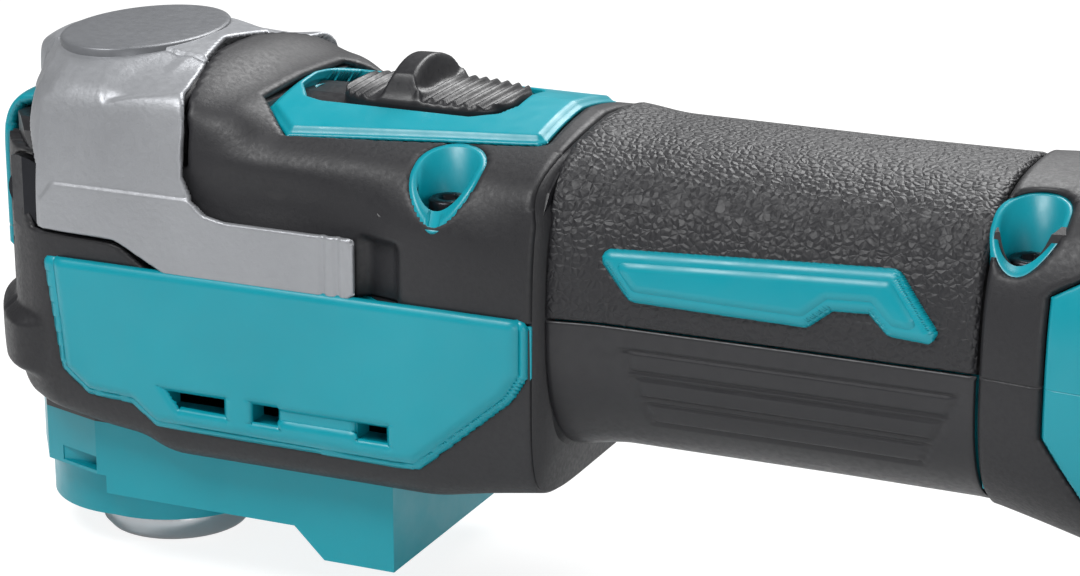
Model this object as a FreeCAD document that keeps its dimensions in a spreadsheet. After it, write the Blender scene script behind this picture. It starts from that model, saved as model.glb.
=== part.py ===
import FreeCAD, Part
import math
import os
import re
import Sketcher

from FreeCAD import Placement, Rotation, Vector

# Cordless oscillating multi-tool with a slide-on battery, in millimetres.
# The origin is on the spindle axis, at the lower rim of the tool holder.
# X runs to the rear of the tool, Z up along the spindle, and the tool is alike on both sides of y = 0.

SIZES = {
    # Running, sliding and seating gaps
    "running_gap": 0.05,
    "seat_gap": 0.1,
    "free_gap": 0.3,
    "panel_gap": 0.25,
    # Casing skins
    "skin": 2,
    "wall": 2.5,
    "parting_z": 60.5,
    # Head of the casing
    "head_front_x": -26,
    "head_half_width": 33,
    "waist_end_x": 57.6,
    "head_low_z": 23,
    "band_z": 25.2,
    "front_low_z": 34,
    "front_top_z": 86,
    "crown_z": 91.5,
    "deck_z": 89,
    "deck_half_width": 15,
    "shoulder_z": 86.6,
    "shoulder_half_width": 23,
    "side_top_z": 77,
    "hump_z": 97,
    "hump_half_width": 17,
    "hump_end_x": 31,
    "neck_x": 70,
    # Handle and tail of the casing
    "grip_start_x": 90.7,
    "grip_end_x": 166.6,
    "grip_half_width": 28,
    "grip_top_z": 89.5,
    "grip_low_z": 33.5,
    "grip_round": 21,
    "tail_half_width": "=head_half_width",
    "tail_top_z": 96,
    "tail_low_z": 21,
    "tail_end_x": 234,
    "tail_round": 14,
    # Clamp lever
    "lever_proud": 1,
    "lever_half_width": "=head_half_width + lever_proud",
    "lever_thick": 2.9,
    "lever_gap": 0.5,
    "waist_half_width": "=lever_half_width - lever_thick - lever_gap",
    "lever_front_x": -8,
    "lever_tip_x": 57.2,
    "lever_arm_z": 72.1,
    "lever_top_z": 97.2,
    "lever_under_z": 90,
    "lever_rear_x": 22.2,
    "pivot_x": -12,
    "pivot_z": 72,
    "pivot_r": 4,
    "link_r": 6.8,
    "cam_base": 4.3,
    "cam_rise": 3,
    "cam_width": 9,
    "cam_gap": 0.4,
    "lever_swing": 95,
    # Tool holder, spindle and clamp
    "holder_r": 14.5,
    "holder_height": 8,
    "holder_rim_height": 6,
    "holder_neck_r": 12.9,
    "star_r": 11.6,
    "star_depth": 5,
    "spindle_r": 8.5,
    "spindle_neck_r": 6,
    "spindle_step_z": 34,
    "spindle_top_z": 54,
    "claw_bore_r": 6.8,
    "claw_bore_top_z": 16,
    "clamp_r": 3.5,
    "claw_reach": 6.4,
    "claw_width": 4.4,
    "claw_low_z": 1,
    "collar_r": 6.5,
    "collar_height": 3,
    "spring_wire": 1.2,
    "yoke_thick": 3,
    "yoke_width": 16,
    "bearing_low_r": 15,
    "bearing_low_height": 8,
    "bearing_top_r": 10.5,
    "bearing_top_height": 5,
    "bearing_top_z": 46,
    "spindle_swing": 1.8,
    # Swing arm and eccentric
    "motor_x": 50,
    "arm_z": 20,
    "arm_height": 7,
    "arm_hub_r": 14,
    "arm_wall": 4,
    "eccentric_r": 5.5,
    "eccentric_pin_r": 4.2,
    # Gear housing
    "gear_half_width": 25.6,
    "gear_end_x": 60,
    "gear_wall": 2.4,
    "gear_top_z": 27.6,
    "gear_step_z": 17,
    "gear_mid_z": 13.5,
    "pod_x": 45.8,
    "pod_z": 7.7,
    "boss_r": 19.4,
    "boss_low_z": 6.5,
    "boss_front_x": -5,
    "cover_thick": 3,
    "tower_r": 13,
    # Motor
    "shaft_r": 2.5,
    "rotor_r": 10.8,
    "air_gap": 0.5,
    "stator_r": 22.5,
    "stator_z": 38,
    "stator_height": 13,
    "coil_height": 3.5,
    "can_r": 25,
    "can_top_z": 64,
    "fan_r": 20.5,
    "fan_z": 54.8,
    "fan_height": 4.8,
    "motor_bearing_r": 6.5,
    "motor_bearing_height": 4,
    "pod_bearing_r": 4.4,
    "pod_bearing_height": 3,
    "weight_r": 5,
    "weight_height": 4,
    # Switch
    "knob_front_x": 41,
    "knob_end_x": 74,
    "knob_half_width": 10.6,
    "knob_low_z": 90,
    "knob_high_z": 92.6,
    "knob_travel": 7,
    "fin_x": 52,
    "fin_thick": 5,
    "fin_z": 96,
    "stem_front_x": 52,
    "stem_end_x": 66,
    "stem_half_width": 4,
    "slider_z": 80.6,
    "slider_thick": 3,
    "slider_half_width": 9.4,
    "switch_low_z": 69,
    "switch_front_x": 40,
    "switch_end_x": 72,
    "frame_front_x": 30.6,
    "frame_end_x": 85.6,
    "frame_half_width": 22.4,
    "frame_end_half_width": 16.6,
    # Vents, inlays and screws
    "vent_low_z": 35.4,
    "vent_top_z": 40.2,
    "screw_x": 71.5,
    "screw_y": 25,
    "screw_r": 2,
    "screw_head_r": 3.7,
    "screw_head_height": 3.2,
    "screw_seat_z": 76,
    "screw_length": 24,
    "boss_wall": 2.2,
    "tail_screw_x": 172,
    "tail_screw_y": 19,
    # Controller, leads and dial
    "controller_front_x": 178,
    "controller_end_x": 222,
    "controller_half_width": 20,
    "controller_z": 46,
    "controller_height": 13,
    "rib_thick": 2.4,
    "lead_r": 1.4,
    "lead_pitch": 4.2,
    "dial_x": 205,
    "dial_r": 10.5,
    "dial_width": 6,
    "dial_z": 86,
    "dial_axle_r": 1.5,
    # Battery rail and battery
    "rail_half_width": 22,
    "rail_lip": 5,
    "rail_thick": 3,
    "rail_low_z": 27,
    "rail_drop": 8,
    "plate_thick": 4,
    "terminal_depth": 7,
    "terminal_half_width": 16,
    "terminal_low_z": 34,
    "terminal_top_z": 50,
    "blade_height": 12,
    "blade_thick": 0.8,
    "blade_pitch": 11,
    "battery_wall": 2,
    "battery_seam": 18,
    "cell_r": 9.1,
    "cell_length": 65,
    "cell_gap": 0.8,
    "cell_end_gap": 3,
    "cell_side_gap": 1.5,
    "cell_front_gap": 3.3,
    "cell_stack_gap": 9,
    "latch_half_width": 13,
    "latch_height": 13,
    "latch_depth": 10,
    # Lamp
    "lamp_z": 43,
    "lamp_width": 12,
    "lamp_height": 5,
}

# Slots of the vents along the head, each as its front and rear x
VENT_SLOTS = (("18.5", "31.7"), ("35.8", "42.5"), ("57", "64"))
# Stations of the spiral cam
CAM_STEPS = 10
CELLS_HIGH = 5
CELLS_DEEP = 2
STATOR_TEETH = 6
FAN_BLADES = 11
LEAD_COUNT = 3
BLADE_COUNT = 3

doc = FreeCAD.newDocument("oscillating_tool")
sheet = doc.addObject("Spreadsheet::Sheet", "sizes")
for row, (size_name, size_value) in enumerate(SIZES.items(), 1):
    sheet.set(f"A{row}", size_name)
    sheet.set(f"B{row}", str(size_value))
    sheet.setAlias(f"B{row}", size_name)
doc.recompute()

SIZE_WORD = re.compile(r"\b(" + "|".join(sorted(SIZES, key=len, reverse=True)) + r")\b")
parts = {}


def qualified(text):
    """Point each size name in an expression at the sheet."""
    return SIZE_WORD.sub(r"sizes.\1", str(text))


def bind(target, prop, text):
    target.setExpression(prop, qualified(text))


def box(low, high, name="block"):
    """Box between two corners, each given as three expressions."""
    solid = doc.addObject("Part::Box", name)
    for axis, side, start, end in zip("xyz", ("Length", "Width", "Height"), low, high):
        bind(solid, "Placement.Base." + axis, start)
        bind(solid, side, f"({end}) - ({start})")
    return solid


AXIS_TURNS = {
    "x": Rotation(Vector(0, 1, 0), 90),
    "y": Rotation(Vector(1, 0, 0), -90),
    "z": Rotation(),
}


def rod(start, radius, length, axis="z", name="rod"):
    """Cylinder from a start point along an axis."""
    solid = doc.addObject("Part::Cylinder", name)
    solid.Placement = Placement(Vector(), AXIS_TURNS[axis])
    for letter, text in zip("xyz", start):
        bind(solid, "Placement.Base." + letter, text)
    bind(solid, "Radius", radius)
    bind(solid, "Height", length)
    return solid


def fuse(*solids, name="joined"):
    joined = doc.addObject("Part::MultiFuse", name)
    joined.Shapes = list(solids)
    joined.Refine = True
    return joined


def common(*solids, name="shared"):
    shared = doc.addObject("Part::MultiCommon", name)
    shared.Shapes = list(solids)
    return shared


def cut(base, *tools, name="trimmed"):
    trimmed = doc.addObject("Part::Cut", name)
    trimmed.Base = base
    trimmed.Tool = tools[0] if len(tools) == 1 else fuse(*tools)
    return trimmed


def tube(start, outer, inner, length, axis="z"):
    """Hollow cylinder, open at both ends."""
    return cut(rod(start, outer, length, axis), rod(start, inner, length, axis))


def plane_of(body, role):
    return next(feature for feature in body.Origin.OriginFeatures if feature.Role == role)


def draw(body, role, offset, points):
    """Closed outline of straight lines, whose corners are held by their two distances from the origin."""
    sketch = body.newObject("Sketcher::SketchObject", "outline")
    sketch.AttachmentSupport = [(plane_of(body, role), "")]
    sketch.MapMode = "FlatFace"
    bind(sketch, "AttachmentOffset.Base.z", offset)
    count = len(points)
    ring = [(math.cos(2 * math.pi * k / count), math.sin(2 * math.pi * k / count)) for k in range(count)]
    for k in range(count):
        start, end = ring[k], ring[(k + 1) % count]
        sketch.addGeometry(Part.LineSegment(Vector(*start, 0), Vector(*end, 0)), False)
    for k in range(count):
        sketch.addConstraint(Sketcher.Constraint("Coincident", k, 2, (k + 1) % count, 1))
    for k, (across, up) in enumerate(points):
        for kind, text, value in (("DistanceX", across, ring[k][0]), ("DistanceY", up, ring[k][1])):
            index = sketch.addConstraint(Sketcher.Constraint(kind, -1, 1, k, 1, value))
            bind(sketch, f"Constraints[{index}]", text)
    return sketch


def prism(role, points, low, high, name="prism"):
    """Outline on one of the origin planes, padded between two distances along that plane's axis."""
    body = doc.addObject("PartDesign::Body", name)
    # The XZ plane's own normal points to -Y, so its pad starts at the far end.
    offset = f"-({high})" if role == "XZ_Plane" else low
    pad = body.newObject("PartDesign::Pad", "pad")
    pad.Profile = draw(body, role, offset, points)
    bind(pad, "Length", f"({high}) - ({low})")
    return body


def side_prism(points, half_width, name="side"):
    """Outline seen from the side, as wide as the given half width on both sides."""
    return prism("XZ_Plane", points, f"-({half_width})", half_width, name)


def both_sides(points):
    """Points of one side, from the middle outwards, and their mirror images."""
    mirrored = [(f"-({across})", up) for across, up in reversed(points)]
    return points + mirrored


def edges_along(shape, direction):
    """Names of the straight edges that run along a direction."""
    names = []
    for index, edge in enumerate(shape.Edges, 1):
        ends = edge.Vertexes
        if len(ends) == 2 and (ends[1].Point - ends[0].Point).normalize().cross(direction).Length < 0.35:
            names.append(f"Edge{index}")
    return names


def round_prism(body, direction, radius):
    """Round the long edges of a padded or lofted body."""
    doc.recompute()
    base = body.Tip
    fillet = body.newObject("PartDesign::Fillet", "rounding")
    fillet.Base = (base, edges_along(base.Shape, direction))
    bind(fillet, "Radius", radius)
    body.Tip = fillet
    return body


def finish(label, solid):
    """Name a finished sub-part, which is also the name of its file."""
    solid.Label = label
    parts[label] = solid
    return solid


def head_plan(inset):
    """Outline of the head as seen from above, with its cut front corners."""
    half = f"head_half_width - {inset}"
    return prism("XY_Plane", both_sides_plan([
        (f"head_front_x + {inset}", "12"),
        (f"head_front_x + 5 + {inset}", f"21 - {inset} / 2"),
        (f"head_front_x + 11 + {inset}", f"head_half_width - 4 - {inset}"),
        (f"lever_front_x + {inset} / 2", half),
        ("neck_x + 30", half),
    ]), "head_low_z - 1", "hump_z + 1", "plan")


def head_form(inset, with_hump):
    """Head of the casing, moved in all round by an inset."""
    profile = [
        (f"head_front_x + {inset}", f"front_low_z + {inset}"),
        ("-6", f"front_low_z + {inset}"),
        ("3", f"front_low_z - 5 + {inset}"),
        ("12", f"front_low_z - 6 + {inset}"),
        ("16", f"head_low_z + {inset}"),
        ("neck_x", f"head_low_z + {inset}"),
        ("grip_start_x", f"grip_low_z - 1.6 + {inset}"),
        ("grip_start_x", f"crown_z - {inset}"),
        ("hump_end_x - 5.5", f"crown_z - {inset}"),
        ("hump_end_x - 6", f"front_top_z - {inset}"),
        (f"head_front_x + 5 + {inset}", f"front_top_z - {inset}"),
        (f"head_front_x + 1 + {inset}", f"front_top_z - 4 - {inset}"),
    ]
    side = side_prism(profile, "head_half_width + 1")
    half = f"head_half_width - {inset}"
    waist = f"waist_half_width - {inset}"
    section = prism("YZ_Plane", both_sides([
        (f"head_half_width - 6 - {inset}", "head_low_z - 1"),
        (half, f"band_z + 2 + {inset}"),
        (half, f"side_top_z - {inset} / 2"),
        (f"head_half_width - 5 - {inset}", f"shoulder_z - 2.4 - {inset}"),
        (f"shoulder_half_width - {inset} / 2", f"shoulder_z - {inset}"),
        ("deck_half_width", f"deck_z - {inset}"),
        ("4", f"crown_z - {inset}"),
    ]), "head_front_x - 1", "neck_x + 30", "section")
    plan = head_plan(inset)
    # Above the parting plane the waist is narrower, so that the lever's arms lie flush.
    recess = prism("XY_Plane", [
        ("head_front_x - 2", waist), ("waist_end_x", waist), ("waist_end_x + 8.5", "head_half_width + 2"),
        ("head_front_x - 2", "head_half_width + 2"),
    ], "parting_z", "hump_z + 2", "recess")
    other = prism("XY_Plane", [
        ("head_front_x - 2", f"-({waist})"), ("waist_end_x", f"-({waist})"),
        ("waist_end_x + 8.5", "-(head_half_width + 2)"), ("head_front_x - 2", "-(head_half_width + 2)"),
    ], "parting_z", "hump_z + 2", "recess")
    block = cut(common(side, section, plan), recess, other)
    if not with_hump:
        return block
    hump = common(
        side_prism([
            (f"13.5 + {inset}", "front_top_z - 10"), (f"13.5 + {inset}", f"hump_z - 1 - {inset}"),
            (f"16 + {inset}", f"hump_z - {inset}"), (f"20 - {inset}", f"hump_z - 1 - {inset}"),
            (f"25 - {inset}", f"crown_z + 1 - {inset}"), ("hump_end_x", f"crown_z - {inset}"),
            ("hump_end_x", "front_top_z - 10"),
        ], "lever_half_width", "hump_side"),
        prism("YZ_Plane", both_sides([
            (f"waist_half_width - {inset}", "front_top_z - 11"),
            (f"waist_half_width - {inset}", f"front_top_z - 5 - {inset}"),
            (f"hump_half_width + 8 - {inset}", f"crown_z - 1 - {inset}"),
            (f"hump_half_width - 1 - {inset}", f"hump_z - {inset}"),
        ]), "0", "hump_end_x + 1", "hump_section"),
    )
    rear_of_lever = prism("XY_Plane", both_sides_plan([
        (f"14 + {inset}", "0.5"), (f"17.5 + {inset}", "15"), (f"20 + {inset}", "25"),
        (f"lever_rear_x + 0.5 + {inset}", "waist_half_width + 1"), ("hump_end_x + 2", "waist_half_width + 1"),
    ]), "front_top_z - 8", "hump_z + 2", "hump_plan")
    return fuse(block, common(hump, rear_of_lever))


def both_sides_plan(points):
    """Points of the far side, front to rear, closed by their mirror images."""
    return points + [(along, f"-({across})") for along, across in reversed(points)]


def grip_form(inset):
    """Handle between the head and the tail: a rounded rectangle along X."""
    half = f"grip_half_width - {inset}"
    body = prism("YZ_Plane", [
        (half, f"grip_low_z + {inset}"), (half, f"grip_top_z - {inset}"),
        (f"-({half})", f"grip_top_z - {inset}"), (f"-({half})", f"grip_low_z + {inset}"),
    ], "grip_start_x - 8", "grip_end_x + 1", "grip_form")
    return round_prism(body, Vector(1, 0, 0), f"grip_round - {inset}")


def rounded_ring(half, low, high, radius):
    """Corner points of a rectangle whose corners are cut back in two steps each."""
    step = f"({radius}) * (1 - sqrt(0.5))"
    side = [
        (half, f"{low} + {radius}"), (half, f"{high} - {radius}"),
        (f"{half} - {step}", f"{high} - {step}"), (f"{half} - {radius}", high),
    ]
    upper = side + [(f"-({across})", up) for across, up in reversed(side)]
    lower = [(f"{half} - {step}", f"{low} + {step}"), (f"{half} - {radius}", low)]
    return upper + [(f"-({across})", up) for across, up in lower] + lower[::-1]


def tail_form(inset):
    """Tail that widens from the handle's section towards the battery."""
    body = doc.addObject("PartDesign::Body", "tail_form")
    first = draw(body, "YZ_Plane", "grip_end_x", rounded_ring(
        f"(grip_half_width - {inset})", f"(grip_low_z + {inset})", f"(grip_top_z - {inset})", "tail_round"))
    last = draw(body, "YZ_Plane", f"tail_end_x - {inset}", rounded_ring(
        f"(tail_half_width - {inset})", f"(tail_low_z + {inset})", f"(tail_top_z - {inset})", "tail_round"))
    loft = body.newObject("PartDesign::AdditiveLoft", "loft")
    loft.Profile = first
    loft.Sections = [last]
    loft.Ruled = True
    return body


def casing_form(inset, with_hump=True):
    return fuse(head_form(inset, with_hump), grip_form(inset), tail_form(inset), name="casing_form")


outer_form = casing_form("0")
core_form = casing_form("skin")
cavity_form = casing_form("(skin + wall)", with_hump=False)
skin_layer = cut(outer_form, core_form, name="skin_layer")
shell = cut(core_form, cavity_form, name="shell")


def span(start, end, low="0", high="hump_z + 20", half="60"):
    """Box across the whole tool between two stations and two heights."""
    return box((start, f"-({half})", low), (end, half, high), "span")


FAR_SIDE = "1"
NEAR_SIDE = "-1"
SIDES = (NEAR_SIDE, FAR_SIDE)


def half_space(side):
    """Everything on one side of the middle plane."""
    low, high = ("-60", "0") if side == NEAR_SIDE else ("0", "60")
    return box(("-60", low, "-10"), ("400", high, "150"), "half_space")


def plank(start, end, inner, outer, low, high, side):
    """Box on one side, between two distances from the middle plane."""
    near, far = (inner, outer) if side == FAR_SIDE else (f"-({outer})", f"-({inner})")
    return box((start, near, low), (end, far, high), "plank")


def gear_plan(inset, low, high):
    """Block with the outline of the gear housing."""
    half = f"gear_half_width - {inset}"
    return prism("XY_Plane", both_sides_plan([
        (f"boss_front_x - 17.6 + {inset}", f"11 - {inset} / 2"),
        (f"boss_front_x - 10 + {inset}", f"21.6 - {inset} / 2"),
        ("-2", half), (f"gear_end_x - {inset}", half),
    ]), low, high, "gear_plan")


def panel_prism(gap):
    """Stepped side panel of the head, as seen from the side."""
    return side_prism([
        (f"-5.6 - {gap}", f"parting_z + {gap}"), (f"-2.8 - {gap}", f"40.7 - {gap}"),
        (f"2.2 - {gap}", f"36.7 - {gap}"), (f"11.3 - {gap}", f"36.2 - {gap}"),
        (f"16.1 - {gap}", f"32.5 - {gap}"), (f"64.5 + {gap}", f"32 - {gap}"),
        (f"68.7 + {gap}", f"32.2 - {gap}"), (f"87.6 + {gap}", f"47.3 - {gap}"),
        (f"grip_start_x - panel_gap + {gap}", f"51.4 - {gap}"),
        (f"grip_start_x - panel_gap + {gap}", f"parting_z + {gap}"),
    ], "head_half_width + 2", "panel")


def inlay_prism(gap):
    """Long bolt-shaped inlay of the handle, as seen from the side."""
    return side_prism([
        (f"101.8 - {gap}", f"72.8 + {gap}"), (f"106.8 - {gap}", f"67 - {gap}"),
        (f"137.2 + {gap}", f"66.6 - {gap}"), (f"141.4 + {gap}", f"69.9 - {gap}"),
        (f"148.4 - {gap}", f"70.3 - {gap}"), (f"151.9 - {gap}", f"67 - {gap}"),
        (f"158.8 + {gap}", f"66.6 - {gap}"), (f"151.9 + {gap}", f"75.3 + {gap}"),
    ], "grip_half_width + 2", "inlay")


def tail_panel_prism(gap):
    """Side panel of the tail, as seen from the side."""
    return side_prism([
        (f"184 - {gap}", f"79.5 + {gap}"), (f"177.7 - {gap}", f"75.8 + {gap}"),
        (f"177.7 - {gap}", f"52.5 - {gap}"), (f"184.8 - {gap}", f"41.7 - {gap}"),
        (f"222 + {gap}", f"33 - {gap}"), (f"228 + {gap}", f"38 - {gap}"),
        (f"228 + {gap}", f"80 + {gap}"), (f"222 + {gap}", f"84 + {gap}"),
    ], "tail_half_width + 2", "tail_panel")


def frame_prism(gap):
    """Plate around the switch, as seen from above."""
    return prism("XY_Plane", both_sides_plan([
        (f"frame_front_x - {gap}", "deck_half_width"),
        (f"frame_front_x + 8 - {gap}", f"frame_half_width + {gap}"),
        (f"frame_end_x - 1 + {gap}", f"frame_end_half_width + {gap}"),
        (f"frame_end_x + {gap}", f"frame_end_half_width - 1 + {gap}"),
    ]), "side_top_z", "hump_z + 2", "frame")


def front_region(gap):
    return box(("head_front_x - 8", f"-(14.5 + {gap})", f"57 - {gap}"),
               ("head_front_x + 7", f"14.5 + {gap}", "front_top_z + 1"), "front_region")


def gear_opening():
    return gear_plan("(-panel_gap - 0.2)", "0", "front_low_z + 6")


def vent_cuts(low, high):
    """Slots for the cooling air on both sides of the head."""
    return [span(start, end, low, high) for start, end in VENT_SLOTS]


def finger_cut(side):
    """Hollow behind the lever's tip, where a finger hooks in."""
    return plank("waist_end_x", "waist_end_x + 8", "waist_half_width - 1.9", "head_half_width + 3",
                 "parting_z + 0.2", "lever_arm_z + 0.3", side)


def screw_places():
    pairs = (("screw_x", "screw_y"), ("tail_screw_x", "tail_screw_y"))
    return [(along, f"{side} * {across}") for along, across in pairs for side in SIDES]


def pivot_bore(radius):
    return rod(("pivot_x", "-50", "pivot_z"), radius, "100", "y")


def screw_wells(low):
    return [rod((along, across, low), "screw_head_r + 1.7", "60") for along, across in screw_places()]


def dial_slot():
    return box(("dial_x - dial_r - 0.6", "-(dial_width / 2 + free_gap)", "dial_z - 8"),
               ("dial_x + dial_r + 0.6", "dial_width / 2 + free_gap", "hump_z + 5"), "dial_slot")


def upper_housing():
    """Upper hard shell with the walls that hold the switch and the wells of the screws."""
    wells = [common(rod((along, across, "screw_seat_z - 3"), "screw_head_r + 3.6", "16"), core_form)
             for along, across in screw_places()]
    bosses = [common(rod((along, across, "parting_z"), "screw_r + boss_wall", "screw_seat_z - parting_z"),
                     core_form) for along, across in screw_places()]
    walls = [common(plank("switch_front_x", "switch_end_x", "slider_half_width + free_gap",
                          "slider_half_width + 2.4", "switch_low_z", "crown_z", side), core_form)
             for side in SIDES]
    upper = common(shell, span("head_front_x", "tail_end_x", "parting_z"))
    shafts = [rod((along, across, "parting_z - 1"), "screw_r + seat_gap", "40")
              for along, across in screw_places()]
    stem_slot = box(("stem_front_x - knob_travel - free_gap", "-(stem_half_width + free_gap)", "slider_z - 1"),
                    ("stem_end_x + free_gap", "stem_half_width + free_gap", "hump_z"), "stem_slot")
    solid = cut(fuse(upper, *wells, *bosses, *walls), pivot_bore("pivot_r + running_gap"), stem_slot,
                dial_slot(), *shafts, *screw_wells("screw_seat_z"), *[finger_cut(side) for side in SIDES])
    return finish("upper_housing", solid)


def lower_housing():
    """Lower hard shell with its side panels, the ribs under the controller and the screw bosses."""
    below = span("head_front_x", "tail_end_x", "0", "parting_z")
    lower = common(shell, below)
    panels = common(skin_layer, panel_prism("0"), below)
    ribs = [common(span(start, f"{start} + rib_thick", "head_low_z", "controller_z"), core_form)
            for start in ("controller_front_x + 6", "controller_end_x - 8")]
    bosses = [common(rod((along, across, "0"), "screw_r + boss_wall", "parting_z"), core_form)
              for along, across in screw_places()]
    shafts = [rod((along, across, "screw_seat_z - screw_length - 1"), "screw_r + running_gap", "40")
              for along, across in screw_places()]
    leads = [rod(("controller_end_x", f"{side} * 6", "terminal_top_z - 3"), "lead_r + seat_gap", "30", "x")
             for side in SIDES]
    solid = cut(fuse(lower, panels, *ribs, *bosses), gear_opening(), *vent_cuts("vent_low_z", "vent_top_z"),
                *shafts, *leads)
    return finish("lower_housing", solid)


def head_cover():
    """Soft cover over the upper half of the head."""
    cover = common(skin_layer, span("head_front_x", "grip_start_x - panel_gap", "parting_z"))
    solid = cut(cover, frame_prism("panel_gap"), front_region("panel_gap"), pivot_bore("link_r + free_gap"),
                *screw_wells("screw_seat_z - 4"), *[finger_cut(side) for side in SIDES])
    return finish("head_cover", solid)


def head_bumper():
    """Soft band under the side panels, round the front corners and up to the lever."""
    below = span("head_front_x - 6", "grip_start_x - panel_gap", "0", "parting_z")
    band = common(skin_layer, below)
    cheeks = [common(side_prism([
        ("lever_front_x", "parting_z"), ("lever_front_x", "65.9"), ("8.2", "65.5"), ("9.9", "64.9"),
        ("16.4", "parting_z"),
    ], "head_half_width"), plank("-20", "30", "waist_half_width + 0.1", "head_half_width", "0", "100", side))
        for side in SIDES]
    bulge = cut(prism("XY_Plane", both_sides_plan([
        ("head_front_x - 3", "11"), ("head_front_x + 2.4", "22.6"), ("head_front_x + 9.6", "31.4"),
        ("lever_front_x - 2", "head_half_width + 0.2"),
    ]), "36.5", "50", "bulge"), outer_form)
    lamp = box(("head_front_x - 9", "-(lamp_width / 2 + panel_gap)", "lamp_z - lamp_height / 2 - panel_gap"),
               ("head_front_x + skin", "lamp_width / 2 + panel_gap", "lamp_z + lamp_height / 2 + panel_gap"),
                "lamp")
    solid = cut(fuse(cut(band, panel_prism("panel_gap")), *cheeks, bulge), gear_opening(),
                front_region("panel_gap"), lamp)
    return finish("head_bumper", solid)


def front_panel():
    return finish("front_panel", common(skin_layer, front_region("0")))


def grip_part(label, low, high):
    band = common(skin_layer, span("grip_start_x + panel_gap", "grip_end_x - panel_gap", low, high))
    return finish(label, cut(band, inlay_prism("panel_gap")))


def inlays():
    for label, side in (("right_inlay", NEAR_SIDE), ("left_inlay", FAR_SIDE)):
        finish(label, common(skin_layer, inlay_prism("0"), half_space(side)))


def tail_parts():
    """Soft tail cover with a hard panel let in on each side."""
    cover = common(skin_layer, span("grip_end_x + panel_gap", "tail_end_x + 1"))
    leads = [rod(("controller_end_x", f"{side} * 6", "terminal_top_z - 3"), "lead_r + seat_gap", "30", "x")
             for side in SIDES]
    finish("tail_cover", cut(cover, tail_panel_prism("panel_gap"), dial_slot(),
                             *screw_wells("screw_seat_z - 4"), *leads))
    for label, side in (("right_tail_panel", NEAR_SIDE), ("left_tail_panel", FAR_SIDE)):
        finish(label, common(skin_layer, tail_panel_prism("0"), half_space(side)))


def housing_screws():
    """Four socket screws that join the two hard shells."""
    screws = []
    for along, across in screw_places():
        shank = rod((along, across, "screw_seat_z - screw_length"), "screw_r", "screw_length")
        head = rod((along, across, "screw_seat_z"), "screw_head_r", "screw_head_height")
        socket = rod((along, across, "screw_seat_z + 1.2"), "screw_r - 0.2", "screw_head_height")
        screws.append(cut(fuse(shank, head), socket))
    return finish("housing_screws", fuse(*screws))


def switch_parts():
    """Plate, sliding knob with its stem, and the switch block below."""
    knob_mid = "(knob_front_x + knob_end_x) / 2"
    opening = prism("XY_Plane", both_sides_plan([
        ("knob_front_x - knob_travel - 1.2", "6"), ("knob_front_x - knob_travel + 3", "knob_half_width + 0.7"),
        ("knob_end_x - 3", "knob_half_width + 0.7"), ("knob_end_x + 1.2", "6"),
    ]), "side_top_z", "hump_z + 3", "knob_opening")
    finish("switch_frame", cut(common(skin_layer, frame_prism("0")), opening))
    cap = prism("XY_Plane", both_sides_plan([
        ("knob_front_x", "5"), ("knob_front_x + 4", "knob_half_width"), ("knob_end_x - 4", "knob_half_width"),
        ("knob_end_x", "5"),
    ]), "knob_low_z", "knob_high_z", "knob_cap")
    fin = side_prism([
        ("fin_x - 4", "knob_low_z + 1"), ("fin_x", "fin_z"), ("fin_x + fin_thick", "fin_z"),
        ("fin_x + fin_thick + 4", "knob_low_z + 1"),
    ], "knob_half_width - 2", "fin")
    stem = box(("stem_front_x", "-stem_half_width", "slider_z + slider_thick - 1"),
               ("stem_end_x", "stem_half_width", "knob_low_z + 1"), "stem")
    slider = box(("stem_front_x - 4", "-slider_half_width", "slider_z"),
                 ("stem_end_x + 5", "slider_half_width", "slider_z + slider_thick"), "slider")
    finish("switch_knob", fuse(cap, fin, stem, slider))
    finish("switch_unit", box(("switch_front_x", "-slider_half_width", "switch_low_z"),
                              ("switch_end_x", "slider_half_width", "slider_z - free_gap"), "switch_unit"))


def cam_point(angle_share):
    """Point of the spiral cam: the share 0 lies under the pivot, the share 1 towards the front."""
    turn = f"lever_swing * {angle_share}"
    reach = f"(cam_base + cam_rise * {angle_share})"
    return (f"pivot_x - {reach} * sin({turn})", f"pivot_z - {reach} * cos({turn})")


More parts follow.
